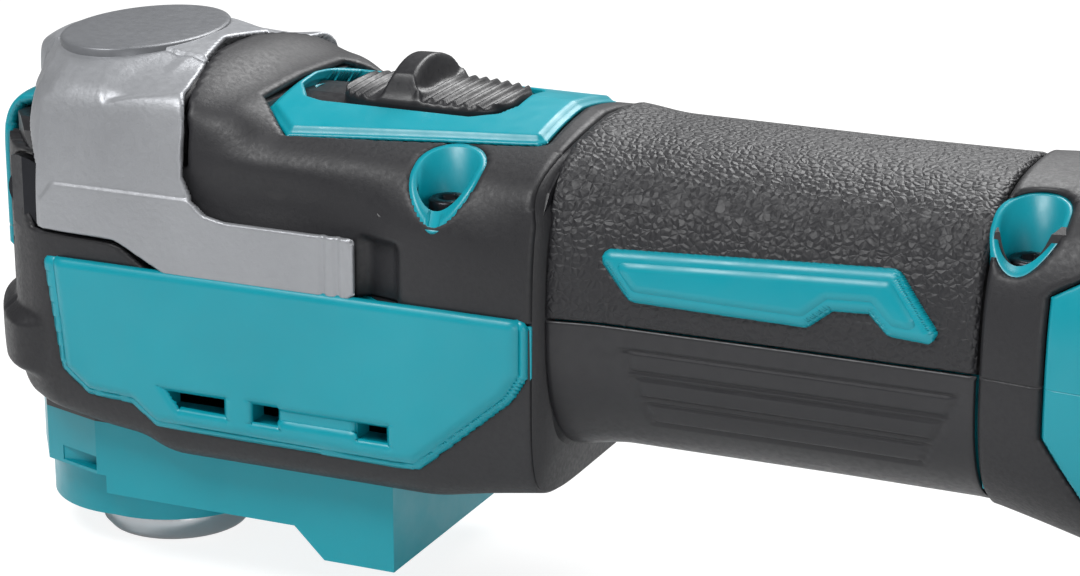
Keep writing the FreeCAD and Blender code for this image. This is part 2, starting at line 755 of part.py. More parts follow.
def lever_parts():
    """Cast lever that wraps the front of the head, and the cam shaft that it turns by a disc at each end."""
    side = side_prism([
        ("lever_front_x", "66.5"), ("8.5", "66.1"), ("10.3", "65.4"), ("18", "parting_z + free_gap"),
        ("lever_tip_x - 2.4", "parting_z + free_gap"), ("lever_tip_x", "parting_z + 1.4"),
        ("lever_tip_x", "lever_arm_z - 0.8"), ("lever_tip_x - 1", "lever_arm_z"),
        ("30", "lever_arm_z"), ("25.3", "lever_arm_z + 2.2"), ("lever_rear_x + 0.2", "77.6"),
        ("lever_rear_x", "lever_top_z - 3"), ("17", "lever_top_z + 1"), ("-15", "lever_top_z + 1"),
        ("-21", "lever_under_z + 3"), ("-21", "lever_under_z - 1"), ("-12", "lever_under_z - 2"),
        ("lever_front_x", "lever_under_z - 6"),
    ], "lever_half_width + 1", "lever_side")
    section = prism("YZ_Plane", both_sides([
        ("lever_half_width", "50"), ("lever_half_width", "77"), ("lever_half_width - 1.4", "81"),
        ("lever_half_width - 2.5", "85"), ("lever_half_width - 5.5", "lever_under_z + 0.5"),
        ("22.5", "lever_top_z - 1.7"), ("16", "lever_top_z"),
    ]), "-30", "70", "lever_section")
    plan = prism("XY_Plane", both_sides_plan([
        ("-20.5", "10"), ("-16.5", "20"), ("lever_front_x - 4", "30"), ("lever_front_x", "lever_half_width"),
        ("lever_tip_x + 1", "lever_half_width"), ("lever_tip_x + 1", "waist_half_width"),
        ("lever_rear_x", "waist_half_width"), ("20", "25"), ("17.5", "15"), ("14", "0.5"),
    ]), "50", "hump_z + 3", "lever_plan")
    hollow = prism("YZ_Plane", both_sides([
        ("lever_half_width - lever_thick", "49"), ("lever_half_width - lever_thick", "78.5"),
        ("lever_half_width - lever_thick - 1.6", "84.8"), ("25", "lever_under_z"),
    ]), "-31", "71", "lever_hollow")
    finish("lock_lever", cut(common(side, section, plan), hollow))
    spiral = [("pivot_x", "pivot_z")] + [cam_point(f"{k} / {CAM_STEPS}") for k in range(CAM_STEPS + 1)]
    lobe = side_prism(spiral, "cam_width / 2", "cam_lobe")
    base = rod(("pivot_x", "-cam_width / 2", "pivot_z"), "cam_base", "cam_width", "y")
    shaft = rod(("pivot_x", f"-{LINK_INNER}", "pivot_z"), "pivot_r", f"2 * {LINK_INNER}", "y")
    starts = (LINK_INNER, f"-{LINK_OUTER}")
    discs = [rod(("pivot_x", start, "pivot_z"), "link_r", f"{LINK_OUTER} - {LINK_INNER}", "y")
             for start in starts]
    links = [common(disc, head_plan("0")) for disc in discs]
    finish("cam_shaft", fuse(shaft, base, lobe, *links))


# Discs on the ends of the cam shaft, let into the soft cover and held by the lever's arms
LINK_INNER = "(waist_half_width - skin + seat_gap)"
LINK_OUTER = "(lever_half_width - lever_thick)"
YOKE_TOP = "(pivot_z - cam_base - cam_gap)"
YOKE_LOW = f"({YOKE_TOP} - yoke_thick)"
COLLAR_TOP = f"({YOKE_LOW} - free_gap)"
COLLAR_LOW = f"({COLLAR_TOP} - collar_height)"
THROW = "(motor_x * tan(spindle_swing))"
FORK_GAP = f"(eccentric_r + 2 * {THROW} + 0.2)"
ECCENTRIC_X = f"(motor_x + {THROW})"
CAN_LOW = "(gear_top_z + cover_thick)"
CAN_WALL = "(can_r - stator_r - seat_gap)"
BATTERY_FRONT = "(tail_end_x + 0.4)"
SEAM_X = f"({BATTERY_FRONT} + battery_seam)"
CELL_PITCH = "(2 * cell_r + cell_gap)"
CELL_X = f"({SEAM_X} + cell_front_gap + cell_r)"
BATTERY_END = f"({CELL_X} + {CELL_PITCH} + cell_r + cell_side_gap + battery_wall)"
BATTERY_HALF = "(cell_length / 2 + cell_end_gap + battery_wall)"
BATTERY_HEIGHT = f"({CELLS_HIGH} * {CELL_PITCH} + 2 * cell_stack_gap)"
RAIL_TOP = f"({BATTERY_HEIGHT} - latch_height - rail_drop)"
BOARD_TOP = f"({RAIL_TOP} + 1)"
RAIL_X = "(tail_end_x + plate_thick)"
LIP_X = f"({RAIL_X} + rail_thick)"


def spindle_parts():
    """Hollow spindle, the star-shaped holder below it and the clamp inside."""
    ring = fuse(rod(("0", "0", "0"), "holder_r", "holder_rim_height"),
                rod(("0", "0", "0"), "holder_neck_r", "holder_height"))
    stars = []
    for turn in (0, 30):
        star = doc.addObject("Part::RegularPolygon", "star")
        star.Polygon = 6
        bind(star, "Circumradius", "star_r")
        hexagon = doc.addObject("Part::Extrusion", "star_block")
        hexagon.Base = star
        hexagon.DirMode = "Custom"
        hexagon.Dir = Vector(0, 0, 1)
        hexagon.Solid = True
        bind(hexagon, "LengthFwd", "star_depth + 1")
        hexagon.Placement = Placement(Vector(0, 0, -1), Rotation(Vector(0, 0, 1), turn))
        stars.append(hexagon)
    notch = box(("-holder_r - 1", "-7.4", "-1"), ("-holder_r + 2", "-4.6", "5"), "notch")
    finish("tool_holder", cut(ring, *stars, rod(("0", "0", "0"), "claw_bore_r", "20"), notch))
    low = rod(("0", "0", "holder_height"), "spindle_r", "spindle_step_z - holder_height")
    neck = rod(("0", "0", "spindle_step_z - 1"), "spindle_neck_r", "spindle_top_z - spindle_step_z + 1")
    finish("spindle", cut(fuse(low, neck), rod(("0", "0", "0"), "clamp_r + running_gap", "100"),
                          rod(("0", "0", "0"), "claw_bore_r", "claw_bore_top_z")))
    stem_low = "(claw_low_z + 8)"
    shaft = rod(("0", "0", stem_low), "clamp_r", f"{COLLAR_TOP} - {stem_low}")
    collar = rod(("0", "0", COLLAR_LOW), "collar_r", "collar_height")
    finish("clamp_shaft", fuse(shaft, collar))
    claws = []
    for side in (-1, 1):
        for inner, outer, high in (("1", "3.3", stem_low), ("1", "claw_reach", "claw_low_z + 2")):
            start, end = (inner, outer) if side > 0 else (f"-({outer})", f"-({inner})")
            claws.append(box((start, "-claw_width / 2", "claw_low_z"), (end, "claw_width / 2", high), "claw"))
    finish("clamp_claws", fuse(*claws))
    spring_low = "(spindle_top_z + seat_gap)"
    finish("clamp_spring", tube(("0", "0", spring_low), "clamp_r + 0.2 + spring_wire", "clamp_r + 0.2",
                                f"{COLLAR_LOW} - seat_gap - {spring_low}"))
    finish("release_yoke", box(("pivot_x - 6", "-yoke_width / 2", YOKE_LOW), ("8", "yoke_width / 2", YOKE_TOP)))
    low_bore, top_bore = "spindle_r + running_gap", "spindle_neck_r + running_gap"
    finish("spindle_lower_bearing",
           tube(("0", "0", "holder_height + 1"), "bearing_low_r", low_bore, "bearing_low_height"))
    finish("spindle_upper_bearing",
           tube(("0", "0", "bearing_top_z"), "bearing_top_r", top_bore, "bearing_top_height"))


def swing_arm():
    """Arm clamped on the spindle, whose fork straddles the eccentric bearing with room to spare."""
    low, high = "arm_z", "arm_z + arm_height"
    hub = rod(("0", "0", low), "arm_hub_r", "arm_height")
    web = box(("4", f"-({FORK_GAP} + arm_wall)", low), ("motor_x - 11", f"{FORK_GAP} + arm_wall", high))
    prongs = [plank("20", "motor_x + 4.4", FORK_GAP, f"{FORK_GAP} + arm_wall", low, high, side)
              for side in SIDES]
    return finish("swing_arm", cut(fuse(hub, web, *prongs), rod(("0", "0", "0"), "spindle_r", "60")))


def gear_screw_places():
    return [("boss_front_x - 7", f"{side} * 17") for side in SIDES] + [("14", f"{side} * 21") for side in SIDES]


def gear_parts():
    """Gear housing with its boss and pod, its cover with the bearing tower, and their screws."""
    upper = gear_plan("0", "gear_step_z", "gear_top_z")
    middle = box(("0", "-gear_half_width", "gear_mid_z"), ("gear_end_x", "gear_half_width", "gear_step_z + 1"))
    pod = side_prism([
        ("pod_x - 6", "gear_mid_z + 1"), ("pod_x - 6", "gear_mid_z"), ("pod_x", "pod_z"),
        ("gear_end_x", "pod_z"), ("gear_end_x", "gear_mid_z + 1"),
    ], "gear_half_width", "pod")
    bosses = [rod((along, "0", "boss_low_z"), "boss_r", "gear_step_z - boss_low_z + 1")
              for along in ("0", "boss_front_x")]
    floor = "(gear_step_z + gear_wall)"
    room = gear_plan("gear_wall", floor, "gear_top_z + 1")
    pod_room = box(("pod_x - 1", "-12", "pod_z + gear_wall"), ("gear_end_x - gear_wall", "12", f"{floor} + 1"))
    seat = rod(("0", "0", "0"), "bearing_low_r + seat_gap / 5", "holder_height + 1 + bearing_low_height")
    throat = rod(("0", "0", "0"), "spindle_r + 1.5", "30")
    studs = [rod((along, across, "gear_step_z"), "screw_r + 1.6", "gear_top_z - gear_step_z")
             for along, across in gear_screw_places()]
    holes = [rod((along, across, "gear_top_z - 7"), "1.5 + running_gap", "40")
             for along, across in gear_screw_places()]
    block = cut(fuse(upper, middle, pod, *bosses), room, pod_room)
    pocket = [plank("-11", "-2", "gear_half_width - 3", "gear_half_width + 1", "gear_step_z + 0.7", "20.5",
                    side)
              for side in SIDES]
    wall_top = "pod_z + gear_wall + pod_bearing_height"
    bearing_wall = cut(box(("pod_x - 1", "-8", "pod_z + 1"), ("gear_end_x - 1", "8", wall_top)),
                       rod(("motor_x", "0", "0"), "pod_bearing_r", "40"))
    finish("gear_housing", cut(fuse(block, *studs, common(bearing_wall, fuse(upper, middle, pod))),
                               seat, throat, *holes, *pocket))
    plate = gear_plan("0", "gear_top_z", CAN_LOW)
    tower = rod(("0", "0", "gear_top_z"), "tower_r", "bearing_top_z + bearing_top_height + 1 - gear_top_z")
    cover_cuts = [
        rod(("0", "0", "0"), "spindle_r + 1", "bearing_top_z"),
        rod(("0", "0", "bearing_top_z"), "bearing_top_r + seat_gap / 5", "20"),
        rod(("motor_x", "0", "0"), "eccentric_r + 2.5", "60"),
    ]
    finish("gear_cover", cut(fuse(plate, tower), *cover_cuts, *holes))
    screws = []
    for along, across in gear_screw_places():
        shank = rod((along, across, "gear_top_z - 6"), "1.5", f"{CAN_LOW} - gear_top_z + 6")
        screws.append(fuse(shank, rod((along, across, CAN_LOW), "2.8", "2")))
    finish("gear_screws", fuse(*screws))


def spoke(angle, inner, outer, width, low, high):
    """Radial block about the motor's axis."""
    block = doc.addObject("Part::Box", "spoke")
    block.Placement = Placement(Vector(), Rotation(Vector(0, 0, 1), angle))
    bind(block, "Placement.Base.x", f"motor_x + ({inner}) * cos({angle}) + ({width}) / 2 * sin({angle})")
    bind(block, "Placement.Base.y", f"({inner}) * sin({angle}) - ({width}) / 2 * cos({angle})")
    bind(block, "Placement.Base.z", low)
    bind(block, "Length", f"({outer}) - ({inner})")
    bind(block, "Width", width)
    bind(block, "Height", f"({high}) - ({low})")
    return block


def motor_parts():
    """Brushless motor that stands behind the spindle, with its eccentric below and its fan above."""
    axis = ("motor_x", "0")
    stator_top = "(stator_z + stator_height)"
    bore = "rotor_r + air_gap"
    wall = rod((*axis, CAN_LOW), "can_r", f"can_top_z - {CAN_LOW}")
    crown = rod((*axis, "can_top_z - 1"), "motor_bearing_r + 2.5", "3.5")
    room = rod((*axis, CAN_LOW), "stator_r + seat_gap", f"can_top_z - {CAN_LOW} - {CAN_WALL}")
    seat = rod((*axis, "can_top_z - 4"), "motor_bearing_r + seat_gap / 5", "10")
    finish("motor_can", cut(fuse(wall, crown), room, seat, *vent_cuts("vent_low_z - 1", "vent_top_z + 1")))
    turns = [60 * k for k in range(STATOR_TEETH)]
    ring = tube((*axis, "stator_z"), "stator_r", "stator_r - 4", "stator_height")
    teeth = [spoke(angle, bore, "stator_r - 3.5", "6", "stator_z", stator_top) for angle in turns]
    finish("stator_core", cut(fuse(ring, *teeth), rod((*axis, "0"), bore, "100")))
    coils = []
    for angle in turns:
        coil = spoke(angle, f"{bore} + 1.2", "stator_r - 5", "9", "stator_z - coil_height",
                     f"{stator_top} + coil_height")
        coils.append(cut(coil, spoke(angle, bore, "stator_r", "6", "stator_z", stator_top)))
    finish("stator_coils", fuse(*coils))
    hub_r = "(rotor_r - 2.2)"
    finish("rotor_core", tube((*axis, "stator_z"), hub_r, "shaft_r", "stator_height"))
    finish("rotor_magnet", tube((*axis, "stator_z"), "rotor_r", hub_r, "stator_height"))
    shaft_low = "(pod_z + gear_wall)"
    shaft = rod((*axis, shaft_low), "shaft_r", f"can_top_z + 1 - {shaft_low}")
    pin = rod((ECCENTRIC_X, "0", "arm_z - 0.5"), "eccentric_pin_r", "arm_height + 1")
    finish("motor_shaft", fuse(shaft, pin))
    finish("eccentric_bearing",
           tube((ECCENTRIC_X, "0", "arm_z"), "eccentric_r", "eccentric_pin_r", "arm_height"))
    weight = cut(tube((*axis, "arm_z - 1 - weight_height"), "weight_r", "shaft_r", "weight_height"),
                 box(("motor_x + 1", "-20", "0"), ("motor_x + 20", "20", "60")))
    finish("balance_weight", weight)
    disc = tube((*axis, "fan_z"), "fan_r", "shaft_r", "1.2")
    hub = tube((*axis, "fan_z"), "6", "shaft_r", "fan_height")
    blades = [spoke(360 / FAN_BLADES * k, "5.5", "fan_r - 0.4", "1.2", "fan_z + 0.6", "fan_z + fan_height")
              for k in range(FAN_BLADES)]
    finish("cooling_fan", fuse(disc, hub, *blades))
    bore = "shaft_r + seat_gap / 5"
    finish("motor_upper_bearing",
           tube((*axis, "can_top_z - 4 + seat_gap"), "motor_bearing_r", bore, "motor_bearing_height"))
    finish("motor_lower_bearing",
           tube((*axis, f"{shaft_low} + seat_gap"), "pod_bearing_r", bore, "pod_bearing_height - seat_gap"))
    pads = [plank("motor_x - 4", "motor_x + 4", "can_r + 0.1", "head_half_width - skin - wall - 0.1",
                  f"{stator_top} - 6", f"{stator_top} + 2", side) for side in SIDES]
    finish("rubber_dampers", fuse(*pads))


def lamp_parts():
    """Work light in the front bulge."""
    edges = ("-lamp_width / 2", "lamp_z - lamp_height / 2"), ("lamp_width / 2", "lamp_z + lamp_height / 2")
    board_x = "(head_front_x + skin - 1.2)"
    finish("lamp_board", box((board_x, *edges[0]), ("head_front_x + skin - seat_gap", *edges[1])))
    finish("lamp_lens", box(("head_front_x - 3.2", *edges[0]), (f"{board_x} - seat_gap", *edges[1])))


def control_parts():
    """Potted controller on its ribs, the leads along the handle, and the speed dial in its bracket."""
    middle_z = "controller_z + controller_height / 2"
    finish("controller", box(("controller_front_x", "-controller_half_width", "controller_z + seat_gap"),
                             ("controller_end_x", "controller_half_width", "controller_z + controller_height")))
    start = "(motor_x + can_r + 0.2)"
    length = f"controller_front_x - 0.2 - {start}"
    leads = [rod((start, f"lead_pitch * {k - 1}", middle_z), "lead_r", length, "x")
             for k in range(LEAD_COUNT)]
    signal = [rod(("switch_end_x + 0.2", f"{side} * 3", "switch_low_z + 4"), "lead_r - 0.4",
                  "dial_x - 9.2 - switch_end_x - 0.2", "x") for side in SIDES]
    power = [rod(("controller_end_x + 0.2", f"{side} * 6", "terminal_top_z - 3"), "lead_r",
                 f"{LIP_X} - controller_end_x - 0.4", "x") for side in SIDES]
    finish("wiring", fuse(*leads, *signal, *power))
    centre = ("dial_x", "-dial_width / 2", "dial_z")
    wheel = rod(centre, "dial_r", "dial_width", "y")
    axle = rod(("dial_x", "-dial_width / 2 - 2", "dial_z"), "dial_axle_r", "dial_width + 4", "y")
    finish("speed_dial", fuse(wheel, axle))
    base = box(("dial_x - 9", "-8", "switch_low_z + 2"), ("dial_x + 9", "8", "dial_z - dial_r - 0.6"))
    cheeks = [plank("dial_x - 4", "dial_x + 4", "dial_width / 2 + free_gap", "dial_width / 2 + 2.6",
                    "switch_low_z + 2", "dial_z + 2.2", side) for side in SIDES]
    axle_hole = rod(("dial_x", "-20", "dial_z"), "dial_axle_r + running_gap", "40", "y")
    finish("dial_bracket", cut(fuse(base, *cheeks), axle_hole))


def rail_parts():
    """T-shaped battery rail on the tail's end, and the terminal block with its upright blades."""
    leads = [rod(("controller_end_x", f"{side} * 6", "terminal_top_z - 3"), "lead_r + seat_gap", "40", "x")
             for side in SIDES]
    plate = box(("tail_end_x", "-rail_half_width", "rail_low_z"),
                (f"{RAIL_X} + 0.5", "rail_half_width", RAIL_TOP))
    lips = box((RAIL_X, "-(rail_half_width + rail_lip)", "rail_low_z"),
               (LIP_X, "rail_half_width + rail_lip", RAIL_TOP))
    finish("battery_rail", cut(fuse(plate, lips), *leads))
    finish("terminal_block", box((LIP_X, "-terminal_half_width", "terminal_low_z"),
                                 (f"{LIP_X} + terminal_depth", "terminal_half_width", "terminal_top_z")))
    blades = [box((f"{LIP_X} + 1", f"blade_pitch * {k - 1} - blade_thick / 2", "terminal_top_z"),
                  (f"{LIP_X} + terminal_depth - 1", f"blade_pitch * {k - 1} + blade_thick / 2",
                   "terminal_top_z + blade_height")) for k in range(BLADE_COUNT)]
    finish("terminal_blades", fuse(*blades))


def battery_parts():
    """Slide-on battery: two shells, the cells in their frames, the board, the latch and the gauge."""
    gap = "0.4"
    outside = (f"-{BATTERY_HALF}", "0"), (BATTERY_HALF, BATTERY_HEIGHT)
    front = box((BATTERY_FRONT, *outside[0]), (SEAM_X, *outside[1]))
    slots = [
        box((f"{BATTERY_FRONT} - 1", f"-(rail_half_width + {gap})", "-1"),
            (f"{RAIL_X} + {gap}", f"rail_half_width + {gap}", f"{RAIL_TOP} + {gap}")),
        box((f"{RAIL_X} - {gap}", f"-(rail_half_width + rail_lip + {gap})", "-1"),
            (f"{LIP_X} + {gap}", f"rail_half_width + rail_lip + {gap}", f"{RAIL_TOP} + {gap}")),
        box((LIP_X, f"-(terminal_half_width + {gap})", "-1"),
            (f"{LIP_X} + terminal_depth + {gap}", f"terminal_half_width + {gap}",
             f"terminal_top_z + blade_height + {gap}")),
    ]
    hollows = [plank(f"{BATTERY_FRONT} + battery_wall", f"{SEAM_X} + 1", "rail_half_width + rail_lip + 2.4",
                     f"{BATTERY_HALF} - battery_wall", "battery_wall", f"{BATTERY_HEIGHT} - battery_wall", side)
               for side in SIDES]
    board_room = box((f"{SEAM_X} - 2.4", "-25", "8"), (f"{SEAM_X} + 1", "25", f"{BOARD_TOP} + 1"))
    latch_low = f"({BATTERY_HEIGHT} - latch_height)"
    latch_room = box((f"{BATTERY_FRONT} - 1", "-(latch_half_width + free_gap)", f"{latch_low} - free_gap"),
                     (f"{SEAM_X} + 1", "latch_half_width + free_gap", f"{BATTERY_HEIGHT} + 1"))
    finish("battery_front_case", cut(front, *slots, *hollows, board_room, latch_room))
    rear = box((SEAM_X, *outside[0]), (BATTERY_END, *outside[1]))
    rear_room = box((f"{SEAM_X} - 1", f"-({BATTERY_HALF} - battery_wall)", "battery_wall"),
                    (f"{BATTERY_END} - battery_wall", f"{BATTERY_HALF} - battery_wall",
                     f"{BATTERY_HEIGHT} - battery_wall"))
    ledge = box((SEAM_X, "-(latch_half_width + 2)", f"{latch_low} - 2"),
                (f"{SEAM_X} + battery_wall", "latch_half_width + 2", BATTERY_HEIGHT))
    finish("battery_rear_case", fuse(cut(rear, rear_room), ledge))
    cells, bores = [], []
    for level in range(CELLS_HIGH):
        for row_index in range(CELLS_DEEP):
            place = (f"{CELL_X} + {CELL_PITCH} * {row_index}", "-cell_length / 2",
                     f"{BATTERY_HEIGHT} / 2 + {CELL_PITCH} * {level - (CELLS_HIGH - 1) / 2}")
            cells.append(rod(place, "cell_r", "cell_length", "y"))
            bores.append(rod(place, "cell_r + seat_gap", "cell_length", "y"))
    finish("battery_cells", fuse(*cells))
    frames = [plank(f"{SEAM_X} + battery_wall + seat_gap", f"{BATTERY_END} - battery_wall - seat_gap", "20", "24",
                    "battery_wall + seat_gap", f"{BATTERY_HEIGHT} - battery_wall - seat_gap", side)
              for side in SIDES]
    finish("cell_frames", cut(fuse(*frames), *bores))
    finish("battery_board", box((f"{SEAM_X} - 2", "-24", "9"), (f"{SEAM_X} - 0.4", "24", BOARD_TOP)))
    finish("battery_latch", box((f"{BATTERY_FRONT} + 0.2", "-latch_half_width", latch_low),
                                (f"{BATTERY_FRONT} + latch_depth", "latch_half_width", BATTERY_HEIGHT)))
    spring_x = f"({BATTERY_FRONT} + latch_depth + seat_gap)"
    finish("latch_spring", rod((spring_x, "0", f"{latch_low} + latch_height / 2"), "2.6",
                               f"{SEAM_X} - seat_gap - {spring_x}", "x"))
    gauge = box((BATTERY_END, "-14", f"{BATTERY_HEIGHT} - 35"),
                (f"{BATTERY_END} + 0.8", "14", f"{BATTERY_HEIGHT} - 23"))
    finish("charge_gauge", gauge)


upper_housing()
lower_housing()
head_cover()
head_bumper()
front_panel()
grip_part("upper_grip", "parting_z", "hump_z")
grip_part("lower_grip", "0", "parting_z")
inlays()
tail_parts()
housing_screws()
switch_parts()
lever_parts()
spindle_parts()
swing_arm()
gear_parts()
motor_parts()
lamp_parts()
control_parts()
rail_parts()
battery_parts()
doc.recompute()

failed = [item.Name for item in doc.Objects if "Invalid" in item.State or "Error" in item.State]
if failed:
    raise RuntimeError("failed objects: " + ", ".join(failed))
os.makedirs("parts", exist_ok=True)
for label, solid in parts.items():
    if solid.Shape.isNull() or not solid.Shape.isValid() or not solid.Shape.Solids:
        raise RuntimeError(label + " has no valid solid")
    solid.Shape.exportStep(f"parts/{label}.step")
print(len(parts), "parts written")
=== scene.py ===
import bpy
import math
import numpy as np
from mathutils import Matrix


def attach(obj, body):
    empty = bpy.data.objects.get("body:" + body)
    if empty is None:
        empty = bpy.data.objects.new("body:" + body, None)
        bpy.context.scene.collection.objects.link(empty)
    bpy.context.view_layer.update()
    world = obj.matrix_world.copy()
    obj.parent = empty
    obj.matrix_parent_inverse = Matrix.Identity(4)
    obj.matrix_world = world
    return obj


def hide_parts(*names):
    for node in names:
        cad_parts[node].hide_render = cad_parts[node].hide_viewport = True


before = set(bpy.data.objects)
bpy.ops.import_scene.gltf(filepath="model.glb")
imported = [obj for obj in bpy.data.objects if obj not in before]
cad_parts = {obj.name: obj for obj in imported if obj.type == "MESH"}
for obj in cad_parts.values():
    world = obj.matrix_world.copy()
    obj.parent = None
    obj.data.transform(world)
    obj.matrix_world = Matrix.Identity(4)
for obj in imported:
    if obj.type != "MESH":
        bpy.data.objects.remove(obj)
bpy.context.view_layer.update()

# Camera: it stands where the photograph was taken from, to the right of the head and a little above it.
# Sizes in this file are millimetres until a mesh or a place is made of them.
MM = 0.001
VIEW_TURN, VIEW_RISE = math.radians(24), math.radians(17.5)
CAMERA_AT = (287.23, -471.41, 219.0)
camera = bpy.data.objects.new("camera", bpy.data.cameras.new("camera"))
camera.data.lens = 100
camera.location = [c * MM for c in CAMERA_AT]
camera.rotation_euler = (math.pi / 2 - VIEW_RISE, 0, VIEW_TURN)
bpy.context.scene.collection.objects.link(camera)
bpy.context.scene.camera = camera
bpy.context.scene.view_settings.view_transform = "Standard"


# Casing: two glass-filled nylon shells under moulded skins. The form of the head is a loft through sections
# across X with cut front corners; that of the handle is a loft of rounder sections that flare at the tail.
MID_Z = 61
EVEN = 2.7


def faceted(*corners, power=30):
    """Radius of a section through corners (y, z), low to high.

    Each edge gives the share of its own distance that a ray covers, and the shares meet in a high power mean.
    """
    points = np.array([(0, corners[0][1]), *corners, (0, corners[-1][1])], float) - (0, MID_Z)
    run = np.diff(points, axis=0)
    normals = np.stack([run[:, 1], -run[:, 0]], 1) / np.hypot(*run.T)[:, None]
    reach = (normals * points[:-1]).sum(1)

    def radius(angle):
        aim = np.stack([np.abs(np.cos(angle)), np.sin(angle)])
        share = np.maximum(normals @ aim, 0) / reach[:, None]
        return (share ** power).sum(0) ** (-1 / power)
    return radius


def egg(half, up, down, power=EVEN):
    """Radius of a superellipse with its own half width, height above and height below the middle."""
    def radius(angle):
        across = np.abs(np.cos(angle)) / half
        upright = np.abs(np.sin(angle)) / np.where(np.sin(angle) > 0, up, down)
        return (across ** power + upright ** power) ** (-1 / power)
    return radius


def loft(stations, soften=2.5, step=0.5):
    """Surface through stations (run, x, radius): the radius about the X axis through MID_Z, by run and angle.

    Radius and x are interpolated along the run, then averaged over a short window, which rounds the corners.
    """
    angles = np.linspace(-math.pi, math.pi, 721)
    runs = np.array([station[0] for station in stations], float)
    along = np.arange(runs[0], runs[-1] + step, step)
    rings = np.stack([station[2](angles) for station in stations])
    place = np.interp(along, runs, np.arange(len(runs)))
    low = np.minimum(place.astype(int), len(runs) - 2)
    share = (place - low)[:, None]
    table = rings[low] * (1 - share) + rings[low + 1] * share
    spots = np.interp(along, runs, [station[1] for station in stations])
    window = max(1, int(soften / step))

    def soft(values):
        """Average of each value and its neighbours within the window."""
        padded = np.pad(values, [(window, window)] + [(0, 0)] * (values.ndim - 1), mode="edge")
        return np.mean([padded[k:k + len(values)] for k in range(2 * window + 1)], axis=0)
    table, spots = soft(table), soft(spots)

    def surface(run, angle):
        """Points at (x, R cos angle, MID_Z + R sin angle), with R and x read between the table's entries."""
        i = np.clip((run - along[0]) / step, 0, len(along) - 1.001)
        j = np.clip((angle + math.pi) / (angles[1] - angles[0]), 0, len(angles) - 1.001)
        a, b = i.astype(int), j.astype(int)
        p, q = i - a, j - b
        radius = ((table[a, b] * (1 - q) + table[a, b + 1] * q) * (1 - p)
                  + (table[a + 1, b] * (1 - q) + table[a + 1, b + 1] * q) * p)
        x = spots[a] * (1 - p) + spots[a + 1] * p
        return np.stack([x, radius * np.cos(angle), MID_Z + radius * np.sin(angle)], -1)
    return surface


def point_radius(angle):
    """Radius of the station that closes a nose: half a millimetre all round."""
    return np.full(len(angle), 0.5)


HEAD = ((22, 22.5), (29.5, 24.5), (33, 27.5), (33, 77), (28.2, 84), (23, 86.8), (15, 89.2), (4, 91.5))
HEAD_REAR = [
    (70, 70, faceted(*HEAD)),
    (81, 81, faceted((25, 25.5), (31.4, 28), (33.4, 33), (33, 75), (28, 83.8), (22, 87), (14, 89.4),
                     (4, 91.3))),
    (93, 93, faceted((24, 27), (31.5, 30.5), (33.4, 36), (33.2, 72), (30.6, 83.2), (22.6, 87.4), (13, 89.6),
                     (4, 91))),
]
casing = loft([
    (-40, -26, point_radius),
    (-26, -26, faceted((10, 34), (12, 37), (12, 80), (10, 82))),
    (-21, -21, faceted((19, 33), (21, 36), (21, 84), (18, 86))),
    (-15, -15, faceted((27, 32), (29, 35), (29, 84), (25, 86))),
    (-8, -8, faceted((30, 30.5), (33, 34), (33, 84), (27, 87))),
    (3, 3, faceted((29, 28), (33, 31.5), (33, 84), (27, 87))),
    (12, 12, faceted((29, 27), (33, 30.5), (33, 84), (27, 87))),
    (16.5, 16.5, faceted(*HEAD)),
    *HEAD_REAR,
])
handle = loft([
    (84, 84, egg(29.8, 29.8, 29)),
    (92, 92, egg(29.6, 29.6, 29)),
    (100, 100, egg(28.2, 28.6, 27.6)),
    (140, 140, egg(28, 28.3, 27.5)),
    (166.6, 166.6, egg(28.3, 28.4, 27.6)),
    (176, 176, egg(29.4, 28.8, 29.6, 2.8)),
    (205, 205, egg(32, 31.5, 36.5, 3.2)),
    (222, 222, egg(33, 34, 39.4, 3.8)),
    (234, 234, egg(33, 35, 40, 4.2)),
])


# Head cover: dark elastomer moulded over the upper shell, from the nose round the lever to the groove before
# the handle. It is open for the switch plate, the screw wells, the front panel and the lever's pivot.
PARTING_Z = 60.5
GROOVE_X = 90.7
HALF_SEAM = 0.3
PIVOT, PIVOT_HOLE = (-12, 72), 7.1
AWAY = 50
PLATE_PLAN = ((30.6, 15.2), (38.5, 22.6), (84.6, 16.8), (85.8, 15.6), (85.8, -15.6), (84.6, -16.8),
              (38.5, -22.6), (30.6, -15.2))
SCREW_PLACES = ((71.5, 25), (172, 19))
WELL_RADIUS, WELL_STRETCH = 6.1, 1.2
NOSE_X, NOSE_HALF, NOSE_LOW = -17, 18, 57
LEVER_REAR = ((-30, -36), (70, -36), (70, -31.5), (22.2, -31), (20, -25), (17.5, -15), (14, 0),
              (17.5, 15), (20, 25), (22.2, 31), (70, 31.5), (70, 36), (-30, 36))
